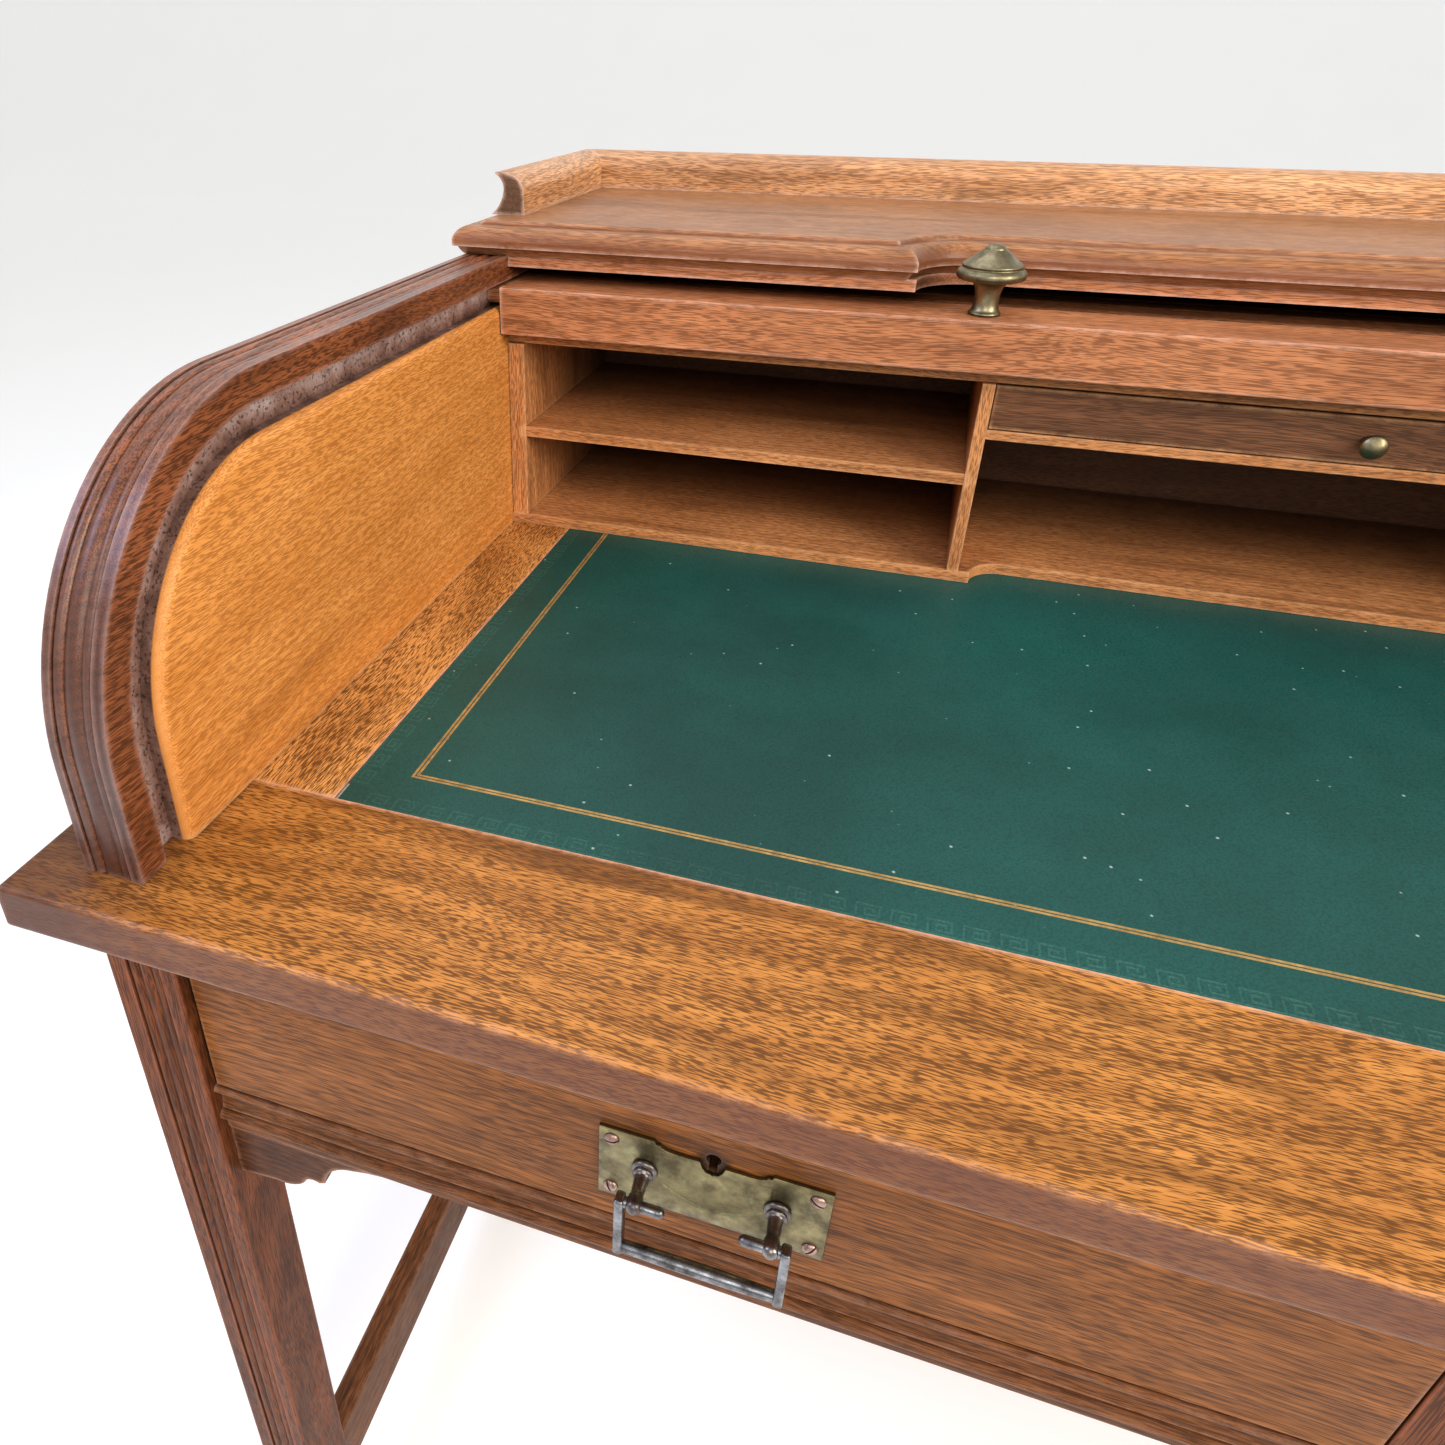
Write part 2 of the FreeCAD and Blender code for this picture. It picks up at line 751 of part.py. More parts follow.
# ---------------------------------------------------------------- tambour
rail_y = front + lead_rail_front
rail_back_y = rail_y + lead_rail_depth
tongue_x = left + roll_groove_floor + tongue_clearance
slat_top_z = roll_z + groove_outer_radius - 1.0
slat_low_z = slat_top_z - slat_thickness
rail_body_x = left + roll_lining_face + 0.8


def lead_rail():
    """Front rail of the tambour: a stout bar with a raised lip on top and a round-nosed tongue at each end."""
    low = desktop_height + lead_rail_bottom
    high = desktop_height + lead_rail_top
    lip = 7.0
    moves = [
        (rail_y, high - 1.2),
        ((rail_y + 0.35, high - 0.35), (rail_y + 1.2, high)),
        (rail_y + lip, high),
        (rail_y + lip + 0.8, high - 0.8),
        (rail_back_y - 1.5, high - 0.8),
        (rail_back_y, high - 2.3),
        (rail_back_y, low + 1),
        (rail_back_y - 1, low),
        (rail_y + 1.2, low),
        ((rail_y + 0.35, low + 0.35), (rail_y, low + 1.2)),
    ]
    body = outline("yz", rail_body_x, (rail_y, low + 1.2), moves[:-2] + [(rail_y + 1.2, low), moves[-1]])
    body = body.extrude(Vector(-2 * rail_body_x, 0, 0))
    nose = slat_thickness / 2
    middle_z = (slat_top_z + slat_low_z) / 2
    tongue = box(tongue_x, rail_body_x + 1, rail_y + 4 + nose, rail_back_y, slat_low_z, slat_top_z - 1.2)
    tip = Part.makeCylinder(nose - 0.6, rail_body_x + 1 - tongue_x,
                            Vector(tongue_x, rail_y + 4 + nose, middle_z - 0.6), Vector(1, 0, 0))
    return fused([body] + both_sides(fused([tongue, tip])))


def slat_at(start_y):
    """One slat: flat beneath, with its two upper edges rounded over."""
    width = slat_pitch - slat_gap
    low = slat_low_z
    high = slat_top_z
    shoulder = 3.2
    moves = [
        (start_y, high - shoulder),
        ((start_y + shoulder * 0.3, high - shoulder * 0.3), (start_y + shoulder, high)),
        (start_y + width - shoulder, high),
        ((start_y + width - shoulder * 0.3, high - shoulder * 0.3), (start_y + width, high - shoulder)),
        (start_y + width, low),
    ]
    face = outline("yz", tongue_x, (start_y, low), moves)
    return face.extrude(Vector(-2 * tongue_x, 0, 0))


def tambour_slats():
    return Part.makeCompound([slat_at(rail_back_y + slat_gap + index * slat_pitch)
                              for index in range(top_slat_count)])


moving_end_y = rail_back_y + top_slat_count * slat_pitch
bend_center_y = groove_back_y - rear_bend_radius
bend_center_z = roll_z + groove_outer_radius - rear_bend_radius


def tambour_canvas():
    """Cloth glued under the moving slats."""
    inset = 14.0
    return box(tongue_x + inset, -tongue_x - inset, rail_back_y + 0.5, moving_end_y,
               slat_low_z - canvas_thickness, slat_low_z)


def tail_slats():
    """Slats that lie round the rear bend and down behind the pigeonholes."""
    width = slat_pitch - slat_gap - 2.6
    plain = box(tongue_x, -tongue_x, -width / 2, width / 2, 0.0, slat_thickness - 1.0)
    low_radius = rear_bend_radius - slat_thickness - 1.2
    slats = []
    for index in range(bend_slat_count):
        angle = 90.0 * (index + 0.5) / bend_slat_count
        slat = plain.translated(Vector(0, 0, low_radius))
        slat.rotate(Vector(0, 0, 0), Vector(1, 0, 0), -angle)
        slats.append(slat.translated(Vector(0, bend_center_y, bend_center_z)))
    for index in range(tail_slat_count):
        slat = plain.translated(Vector(0, 0, low_radius))
        slat.rotate(Vector(0, 0, 0), Vector(1, 0, 0), -90)
        drop = slat_pitch * (index + 0.5)
        slats.append(slat.translated(Vector(0, bend_center_y, bend_center_z - drop)))
    return Part.makeCompound(slats)


tambour_knob_profile = ((0.0, 0.0), [
    (0.0, 9.6), ((1.2, 9.9), (2.2, 9.0)), ((9.0, 7.4), (15.0, 8.0)),
    ((18.4, 9.4), (20.4, 13.0)), (20.8, 15.2),
    ((21.8, 20.8), (25.2, 21.0)), ((27.6, 20.2), (28.0, 18.2)),
    (28.9, 18.0), ((29.8, 18.9), (30.7, 17.6)),
    ((34.4, 12.2), (38.6, 7.4)), (38.9, 6.2), dome_to((38.9, 6.2), 42.0),
])


def tambour_knob():
    foot = Vector(left + tambour_knob_x, front + tambour_knob_y, desktop_height + lead_rail_top - 0.8)
    return turned(foot, Vector(0, 0, 1), tambour_knob_profile)


# ---------------------------------------------------------------- drawers
drawer_left = leg_inner_x + drawer_gap
drawer_right = -stile_width / 2 - drawer_gap
drawer_low_z = rail_top_z + drawer_gap
drawer_high_z = frame_under - 1.2
drawer_back_y = face_y + drawer_front_thickness + drawer_length
drawer_side_low_z = runner_top_z + 0.3
drawer_side_high_z = frame_under - 9.0
drawer_floor_z = drawer_side_low_z + 6.0
handle_middle_x = left + handle_x
handle_middle_z = desktop_height + handle_z
plate_front_y = face_y - plate_thickness
post_z = handle_middle_z + post_rise
pin_y = plate_front_y - post_reach


def bottom_blank():
    return box(drawer_side_outer_x + drawer_side_thickness - housing_depth,
               drawer_side_inner_x - drawer_side_thickness + housing_depth,
               face_y + drawer_front_thickness - housing_depth, drawer_back_y - 0.5,
               drawer_floor_z, drawer_floor_z + drawer_bottom_thickness)


def keyhole():
    """Keyhole through the drawer front: a round eye over a slot."""
    depth = drawer_front_thickness + 2
    eye = Part.makeCylinder(3.4, depth, Vector(handle_middle_x, face_y - 1, desktop_height + keyhole_z),
                            Vector(0, 1, 0))
    slot = box(handle_middle_x - 1.9, handle_middle_x + 1.9, face_y - 1, face_y - 1 + depth,
               desktop_height + keyhole_z - 9, desktop_height + keyhole_z)
    return fused([eye, slot])


def drawer_front():
    board = box(drawer_left, drawer_right, face_y, face_y + drawer_front_thickness, drawer_low_z, drawer_high_z)
    board = softened(board, 1.2, lambda edge: abs(middle_of(edge).y - face_y) < 0.01)
    board = board.cut(bottom_blank()).cut(keyhole())
    for bolt in post_bolts() + screw_shanks():
        board = board.cut(bolt)
    return board


def drawer_carcase():
    """The two sides and the back of the drawer, as separate boards."""
    start_y = face_y + drawer_front_thickness
    outer = box(drawer_side_outer_x, drawer_side_outer_x + drawer_side_thickness, start_y, drawer_back_y,
                drawer_side_low_z, drawer_side_high_z)
    inner = box(drawer_side_inner_x - drawer_side_thickness, drawer_side_inner_x, start_y, drawer_back_y,
                drawer_side_low_z, drawer_side_high_z)
    back_board = box(drawer_side_outer_x + drawer_side_thickness, drawer_side_inner_x - drawer_side_thickness,
                     drawer_back_y - 12, drawer_back_y - 1, drawer_floor_z + drawer_bottom_thickness,
                     drawer_side_high_z - 4)
    blank = bottom_blank()
    return Part.makeCompound([outer.cut(blank), inner.cut(blank), back_board])


def drawer_lock():
    """Lock case let on behind the drawer front."""
    case_y = face_y + drawer_front_thickness
    case_low = desktop_height + keyhole_z - 22
    case = box(handle_middle_x - 28, handle_middle_x + 28, case_y, case_y + 9, case_low, frame_under - 12)
    case = softened(case, 1.0, lambda edge: abs(middle_of(edge).y - case_y - 9) < 0.01)
    post = Part.makeCylinder(2.0, 8.5, Vector(handle_middle_x, case_y - 8.5, desktop_height + keyhole_z),
                             Vector(0, 1, 0))
    return fused([case, post])


# ---------------------------------------------------------------- drawer handles
collar_radius = 5.4
screw_head_radius = 3.6
screw_dome = 2.1
screw_inset_x = 6.0
screw_inset_z = 6.5
raised_end = 26.5             # from the middle of the plate to where its raised ends stop
centre_dip = 4.6


def pull_plate():
    """Brass plate: raised ends, a lower middle, and a notch under the keyhole."""
    x = handle_middle_x
    z = handle_middle_z
    half = plate_width / 2
    high = z + plate_height / 2
    low = z - plate_height / 2
    dip = high - centre_dip
    notch = 5.6
    notch_floor = dip - 6.0
    moves = [
        (x - half, high),
        (x - raised_end, high),
        (x - raised_end + 1.0, high - 2.0),
        ((x - raised_end + 2.8, high - 1.8), (x - raised_end + 4.0, high - 3.4)),
        ((x - raised_end + 6.6, dip - 0.2), (x - raised_end + 10.0, dip)),
        (x - notch, dip),
        ((x, notch_floor - 1.2), (x + notch, dip)),
        (x + raised_end - 10.0, dip),
        ((x + raised_end - 6.6, dip - 0.2), (x + raised_end - 4.0, high - 3.4)),
        ((x + raised_end - 2.8, high - 1.8), (x + raised_end - 1.0, high - 2.0)),
        (x + raised_end, high),
        (x + half, high),
        (x + half, low),
        ((x, low + 1.6), (x - half, low)),
    ]
    plate = outline("xz", plate_front_y, (x - half, low), moves).extrude(Vector(0, plate_thickness, 0))
    for bolt in post_bolts() + screw_shanks():
        plate = plate.cut(bolt)
    return plate


def post_places():
    return [handle_middle_x - post_spacing / 2, handle_middle_x + post_spacing / 2]


def post_bolts():
    """Threaded ends of the posts, which pass through the drawer front."""
    reach = drawer_front_thickness + plate_thickness
    return [Part.makeCylinder(2.4, reach, Vector(x, plate_front_y, post_z), Vector(0, 1, 0))
            for x in post_places()]


def screw_places():
    reach_x = plate_width / 2 - screw_inset_x
    reach_z = plate_height / 2 - screw_inset_z
    return [(handle_middle_x + side * reach_x, handle_middle_z + level * reach_z)
            for side in (-1, 1) for level in (-1, 1)]


def screw_shanks():
    return [Part.makeCylinder(1.5, 14.0, Vector(x, plate_front_y, z), Vector(0, 1, 0)) for x, z in screw_places()]


post_profile = ((0.0, 0.0), [
    (0.0, collar_radius), ((-1.1, collar_radius + 0.6), (-2.2, collar_radius)),
    (-2.8, 4.4), ((-3.6, 4.9), (-4.4, 4.3)), (-4.9, 3.4), (-13.6, 2.9),
    ((-14.0, 3.2), (-14.8, 3.4)), ((-18.0, 3.9), (-20.8, 3.3)), dome_to((-20.8, 3.3), -22.3),
])


def handle_posts():
    """Turned posts: a collar on the plate, a neck, and a ball bored across for the bail's pins."""
    posts = []
    for x, bolt in zip(post_places(), post_bolts()):
        post = turned(Vector(x, plate_front_y, post_z), Vector(0, 1, 0), post_profile)
        bore = Part.makeCylinder(pin_radius + pin_running_gap, 20, Vector(x - 10, pin_y, post_z), Vector(1, 0, 0))
        posts.append(fused([post, bolt]).cut(bore))
    return posts


def plate_screws():
    """Round-headed slotted wood screws at the corners of the plate."""
    screws = []
    dome = ((0.0, 0.0), [(0.0, screw_head_radius), dome_to((0.0, screw_head_radius), -screw_dome)])
    for (x, z), shank in zip(screw_places(), screw_shanks()):
        head = turned(Vector(x, plate_front_y, z), Vector(0, 1, 0), dome)
        slot = box(x - 0.4, x + 0.4, plate_front_y - 3, plate_front_y - 1.1, z - 5, z + 5)
        slot.rotate(Vector(x, plate_front_y, z), Vector(0, 1, 0), 25)
        screws.append(fused([head, shank]).cut(slot))
    return screws


def handle_fixings():
    return Part.makeCompound(handle_posts() + plate_screws())


arm_width = 7.0
arm_thickness = 4.4
pin_length = 17.0


def bail():
    """Hanging handle: two flat arms, a round grip, and a pin at the top of each arm that points inwards."""
    x = handle_middle_x
    pieces = []
    for side in (-1, 1):
        outer = x + side * bail_half_width
        arm_inner = outer - side * arm_thickness
        arm = box(min(outer, arm_inner), max(outer, arm_inner), pin_y - arm_width / 2, pin_y + arm_width / 2,
                  post_z - bail_drop - bail_bar_radius, post_z + pin_radius + 0.6)
        arm = softened(arm, 1.6, lambda edge: along(edge, "z") or along(edge, "x"))
        pin_end = arm_inner - side * (pin_length - 1.0)
        pin = Part.makeCylinder(pin_radius, pin_length, Vector(arm_inner + side, pin_y, post_z),
                                Vector(-side, 0, 0))
        pieces += [arm, pin, Part.makeSphere(pin_radius, Vector(pin_end, pin_y, post_z))]
    half_grip = bail_half_width - arm_thickness / 2
    swell = 0.5
    grip_face = outline("yz", 0.0, (-half_grip, 0.0), [
        (-half_grip, bail_bar_radius - swell),
        ((0.0, bail_bar_radius), (half_grip, bail_bar_radius - swell)),
        (half_grip, 0.0),
    ])
    grip = grip_face.revolve(Vector(0, 0, 0), Vector(0, 1, 0), 360)
    grip.Placement = FreeCAD.Placement(Vector(x, pin_y, post_z - bail_drop),
                                       FreeCAD.Rotation(Vector(0, 1, 0), Vector(1, 0, 0)))
    return fused(pieces + [grip])


# ---------------------------------------------------------------- every node of the desk
def pair(name, shape):
    return {name + "_left": shape, name + "_right": mirrored(shape)}


nodes = {}
nodes.update(pair("front_leg", front_leg()))
nodes.update(pair("back_leg", back_leg()))
nodes.update(pair("side_apron", side_apron()))
nodes["back_apron"] = back_apron()
nodes["front_rail"] = front_rail()
nodes["rail_brackets"] = Part.makeCompound(both_sides(rail_bracket()))
nodes["centre_stile"] = centre_stile()
nodes["drawer_runners"] = drawer_runners()
nodes.update(pair("side_stretcher", side_stretcher()))
nodes["cross_stretcher"] = cross_stretcher()
nodes["top_front_board"] = top_front_board()
nodes.update(pair("top_side_board", top_side_board()))
nodes["top_back_board"] = top_back_board()
nodes["top_ground"] = top_ground()
nodes["leather_panel"] = leather_panel()
nodes.update(pair("roll_side", roll_side()))
nodes.update(pair("groove_lining", groove_lining()))
nodes["case_back"] = case_back()
nodes["gallery_board"] = gallery_board()
nodes["frieze_rail"] = frieze_rail()
nodes.update(pair("gallery_side_rail", gallery_side_rail()))
nodes["gallery_back_rail"] = gallery_back_rail()
nodes["pigeonhole_base"] = pigeonhole_base()
nodes["pigeonhole_ends"] = Part.makeCompound(both_sides(pigeonhole_end()))
nodes["pigeonhole_dividers"] = Part.makeCompound(both_sides(divider()))
nodes["pigeonhole_shelves"] = Part.makeCompound(both_sides(side_shelf_blank()))
nodes["inner_drawer_shelf"] = inner_rail()
nodes["pigeonhole_top"] = pigeonhole_top_board()
nodes["pigeonhole_back"] = pigeonhole_back_board()
nodes["inner_drawer_front"] = inner_drawer_front()
nodes["inner_drawer_tray"] = inner_drawer_tray()
nodes["inner_drawer_knob"] = inner_drawer_knob()
nodes["lead_rail"] = lead_rail()
nodes["tambour_slats"] = tambour_slats()
nodes["tambour_canvas"] = tambour_canvas()
nodes["tambour_tail_slats"] = tail_slats()
nodes.update(pair("tambour_knob", tambour_knob()))
nodes.update(pair("drawer_front", drawer_front()))
nodes.update(pair("drawer_carcase", drawer_carcase()))
nodes.update(pair("drawer_bottom", bottom_blank()))
nodes.update(pair("drawer_lock", drawer_lock()))
nodes.update(pair("pull_plate", pull_plate()))
nodes.update(pair("handle_fixings", handle_fixings()))
nodes.update(pair("bail", bail()))

os.makedirs("parts", exist_ok=True)
for name, shape in nodes.items():
    if not shape.isValid():
        print("not valid:", name)
    shape.exportStep("parts/" + name + ".step")
print(len(nodes), "nodes written")
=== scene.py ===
"""Roll top desk: its oak, brass, steel and leather finishes, and the fine fittings, round the fixed frame."""
import math

import bmesh
import bpy
from mathutils import Matrix, Vector


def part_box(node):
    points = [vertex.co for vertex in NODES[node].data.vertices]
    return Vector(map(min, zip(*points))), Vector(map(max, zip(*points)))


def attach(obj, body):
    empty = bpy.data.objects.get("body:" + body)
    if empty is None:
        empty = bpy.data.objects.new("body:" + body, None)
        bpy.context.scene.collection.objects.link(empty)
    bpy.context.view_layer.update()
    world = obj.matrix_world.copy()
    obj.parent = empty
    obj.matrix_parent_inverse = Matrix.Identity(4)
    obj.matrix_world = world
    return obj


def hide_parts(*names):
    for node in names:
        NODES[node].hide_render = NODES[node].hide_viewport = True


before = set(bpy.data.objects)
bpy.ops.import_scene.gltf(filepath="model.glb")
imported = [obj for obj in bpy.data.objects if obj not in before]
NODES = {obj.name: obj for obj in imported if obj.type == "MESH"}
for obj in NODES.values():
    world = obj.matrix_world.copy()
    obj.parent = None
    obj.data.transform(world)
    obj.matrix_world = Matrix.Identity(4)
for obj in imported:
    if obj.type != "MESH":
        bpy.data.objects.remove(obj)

bl_info = {
    "name": "Roll Top Desk",
    "version": (1, 0, 0),
    "blender": (4, 5, 0),
    "location": "3D View > Sidebar > Roll Top Desk",
    "description": "Finishes a tambour desk and makes its leather, handles and knobs",
    "category": "Object",
}

MM = 0.001
SIDES = ("left", "right")


# ---------------------------------------------------------------- small tools
def tone(code, alpha=1.0):
    """Linear colour of an sRGB hex value; a colour that is linear already passes through."""
    if not isinstance(code, str):
        return tuple(code)
    parts = [int(code[start:start + 2], 16) / 255 for start in (1, 3, 5)]
    return tuple(p / 12.92 if p <= 0.04045 else ((p + 0.055) / 1.055) ** 2.4 for p in parts) + (alpha,)


def add(tree, kind, sockets=None, stops=None, **settings):
    """Adds a shader node. sockets maps an input to a value, or to what feeds it: an output, or a node for its
    first output. stops fill a ramp."""
    made = tree.nodes.new("ShaderNode" + kind)
    for name, value in settings.items():
        setattr(made, name, value)
    for key, value in (sockets or {}).items():
        if isinstance(value, bpy.types.Node):
            value = value.outputs[0]
        if isinstance(value, bpy.types.NodeSocket):
            tree.links.new(value, made.inputs[key])
        else:
            made.inputs[key].default_value = value
    for index, (place, value) in enumerate(stops or []):
        ramp = made.color_ramp.elements
        stop = ramp[index] if index < 2 else ramp.new(place)
        stop.position = place
        stop.color = value if isinstance(value, tuple) else (value, value, value, 1.0)
    return made


def blank_material(name):
    made = bpy.data.materials.new(name)
    made.use_nodes = True
    made.node_tree.nodes.clear()
    return made, made.node_tree


def close_material(tree, surface):
    add(tree, "OutputMaterial", {"Surface": surface})


def dress(node, material):
    """Puts a finish on a node of the frame, whose mesh stays as it is."""
    NODES[node].data.materials.clear()
    NODES[node].data.materials.append(material)


def pair(*names):
    """The left and the right node of each name."""
    return [name + "_" + side for name in names for side in SIDES]


def finish_piece(mesh_bm, name, body, materials, nodes=(), sharp=35.0):
    """Makes the object at the origin, smooths it, and puts it on its body in place of its CAD nodes."""
    mesh = bpy.data.meshes.new(name)
    mesh_bm.to_mesh(mesh)
    mesh_bm.free()
    for material in materials:
        mesh.materials.append(material)
    mesh.shade_smooth()
    mesh.set_sharp_from_angle(angle=math.radians(sharp))
    piece = bpy.data.objects.new(name, mesh)
    bpy.context.scene.collection.objects.link(piece)
    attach(piece, body)
    if nodes:
        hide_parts(*nodes)
    return piece


def turn_profile(bm, profile, axis_point, direction, steps):
    """Spins a (distance along the axis, radius) profile, in millimetres, into a closed turned shape."""
    place = Matrix.Translation(axis_point) @ direction.to_track_quat("Z", "Y").to_matrix().to_4x4()
    verts = [bm.verts.new(Vector((radius * MM, 0.0, along * MM))) for along, radius in profile]
    edges = [bm.edges.new(ends) for ends in zip(verts, verts[1:])]
    bmesh.ops.spin(bm, geom=verts + edges, cent=(0, 0, 0), axis=(0, 0, 1), angle=2 * math.pi, steps=steps,
                   use_merge=True, use_duplicate=False)
    bmesh.ops.remove_doubles(bm, verts=bm.verts[:], dist=1e-6)
    fresh = [face for face in bm.faces if not face.tag]
    for face in fresh:
        face.tag = True
    moved = list({vert for face in fresh for vert in face.verts})
    bmesh.ops.transform(bm, matrix=place, verts=moved)
    bmesh.ops.recalc_face_normals(bm, faces=fresh)


# ---------------------------------------------------------------- oak
GRAIN = {"x": (0.0, 0.0, 0.0), "y": (0.0, 0.0, math.pi / 2), "z": (0.0, math.pi / 2, 0.0)}
ROLL_CENTRE = (-0.1978, 0.8185)  # y and z of the middle of the roll's curve
GROOVE_INNER, GROOVE_OUTER = 0.1095, 0.1250  # the tambour groove's walls, from that middle
GROOVE_FLOOR_X = 0.5564  # from the middle of the desk, as the next ones
ROLL_WALL_X = 0.5482
LINING_WALL_X = 0.5500
FOOT_DIRT_X = (0.560, 0.605)  # where the dirt outside the roll sides starts, and where it is full
RECESS_Y = (0.180, 0.325)  # where the painted shade in the pigeonholes starts, and where it is full
KEYHOLE = (0.2834, 0.0, 0.6660)
KEYHOLE_STAIN = (0.0125, 0.0075)  # how far the stain reaches, and where it is full
# the colour of the painted shade laid into the oak's corners
CORNER_SHADE_TONE = "#1d110c"


def tambour_groove(tree, place):
    """How far a point is from the middle of the roll's curve, and how far from the middle of the desk."""
    spot = add(tree, "SeparateXYZ", {"Vector": place})
    ahead = add(tree, "Math", {0: spot.outputs["Y"], 1: ROLL_CENTRE[0]}, operation="SUBTRACT")
    ahead = add(tree, "Math", {0: ahead, 1: 0.0}, operation="MINIMUM")
    above = add(tree, "Math", {0: spot.outputs["Z"], 1: ROLL_CENTRE[1]}, operation="SUBTRACT")
    above = add(tree, "Math", {0: above, 1: 0.0}, operation="MAXIMUM")
    arm = add(tree, "CombineXYZ", {"X": 0.0, "Y": ahead, "Z": above})
    arm = add(tree, "VectorMath", {0: arm}, operation="LENGTH")
    side = add(tree, "Math", {0: spot.outputs["X"]}, operation="ABSOLUTE")
    return arm.outputs["Value"], side.outputs[0]


def groove_dust(tree, place, wood, wall_x):
    """Lays dust on the groove's floor, pale towards its outer wall and darker towards its inner wall, with
    dark specks of dirt.
    """
    arm, side = tambour_groove(tree, place)
    low = add(tree, "Math", {0: arm, 1: GROOVE_INNER - 0.0006}, operation="GREATER_THAN")
    high = add(tree, "Math", {0: arm, 1: GROOVE_OUTER + 0.0003}, operation="LESS_THAN")
    inside = add(tree, "MapRange", {"Value": side, "From Min": wall_x, "From Max": wall_x + 0.0008})
    shallow = add(tree, "Math", {0: side, 1: GROOVE_FLOOR_X + 0.0006}, operation="LESS_THAN")
    where = add(tree, "Math", {0: low, 1: high}, operation="MULTIPLY")
    where = add(tree, "Math", {0: where, 1: shallow}, operation="MULTIPLY")
    where = add(tree, "Math", {0: where, 1: inside}, operation="MULTIPLY")
    film = add(tree, "TexNoise", {"Vector": place, "Scale": 60.0, "Detail": 6.0, "Roughness": 0.7})
    speck = add(tree, "TexNoise", {"Vector": place, "Scale": 520.0, "Detail": 2.0, "Roughness": 0.6})
    fall = add(tree, "MapRange", {"Value": arm, "From Min": GROOVE_INNER, "From Max": GROOVE_OUTER})
    pale = add(tree, "Math", {0: film, 1: 1.3, 2: -0.42}, operation="MULTIPLY_ADD")
    pale = add(tree, "Math", {0: fall, 1: 0.7, 2: pale}, operation="MULTIPLY_ADD", use_clamp=True)
    dust = add(tree, "ValToRGB", {"Fac": pale},
               stops=[(0.0, tone("#3a251d")), (1.0, tone("#cbbfbc")), (0.35, tone("#7d5d51")),
                      (0.7, tone("#a78f88"))])
    grit = add(tree, "MapRange", {"Value": speck, "From Min": 0.55, "From Max": 0.63, "To Max": 0.7})
    dust = add(tree, "Mix", {0: grit, 6: dust, 7: tone("#1c1311")}, data_type="RGBA")
    return add(tree, "Mix", {0: where, 6: wood, 7: dust.outputs[2]}, data_type="RGBA")


def keyhole_stain(tree, place, wood):
    """Dark handling stain round each keyhole."""
    spot = add(tree, "SeparateXYZ", {"Vector": place})
    side = add(tree, "Math", {0: spot.outputs["X"]}, operation="ABSOLUTE")
    flat = add(tree, "CombineXYZ", {"X": side, "Y": 0.0, "Z": spot.outputs["Z"]})
    away = add(tree, "VectorMath", {0: flat, 1: KEYHOLE}, operation="DISTANCE")
    rough = add(tree, "TexNoise", {"Vector": place, "Scale": 260.0, "Detail": 3.0})
    away = add(tree, "Math", {0: rough, 1: 0.005, 2: away.outputs["Value"]}, operation="MULTIPLY_ADD")
    dark = add(tree, "MapRange", {"Value": away, "From Min": KEYHOLE_STAIN[0], "From Max": KEYHOLE_STAIN[1],
                                  "To Max": 0.85})
    return add(tree, "Mix", {0: dark, 6: wood, 7: tone("#120d0a")}, data_type="RGBA")


def roll_foot_dirt(tree, place, wood):
    """Dark old dirt on the board outside the roll sides and round their feet."""
    spot = add(tree, "SeparateXYZ", {"Vector": place})
    side = add(tree, "Math", {0: spot.outputs["X"]}, operation="ABSOLUTE")
    rough = add(tree, "TexNoise", {"Vector": place, "Scale": 38.0, "Detail": 6.0, "Roughness": 0.7})
    side = add(tree, "Math", {0: rough, 1: 0.05, 2: side}, operation="MULTIPLY_ADD")
    dark = add(tree, "MapRange", {"Value": side, "From Min": FOOT_DIRT_X[0], "From Max": FOOT_DIRT_X[1],
                                  "To Max": 0.75})
    return add(tree, "Mix", {0: dark, 6: wood, 7: tone("#4b2c1e")}, data_type="RGBA")


def recess_shade(tree, place, wood):
    """Painted shade inside the pigeonholes, growing darker towards their backs."""
    spot = add(tree, "SeparateXYZ", {"Vector": place})
    rough = add(tree, "TexNoise", {"Vector": place, "Scale": 22.0, "Detail": 5.0, "Roughness": 0.65})
    deep = add(tree, "Math", {0: rough, 1: 0.06, 2: spot.outputs["Y"]}, operation="MULTIPLY_ADD")
    dark = add(tree, "MapRange", {"Value": deep, "From Min": RECESS_Y[0], "From Max": RECESS_Y[1],
                                  "To Max": 0.85})
    return add(tree, "Mix", {0: dark, 6: wood, 7: tone("#27150c")}, data_type="RGBA")


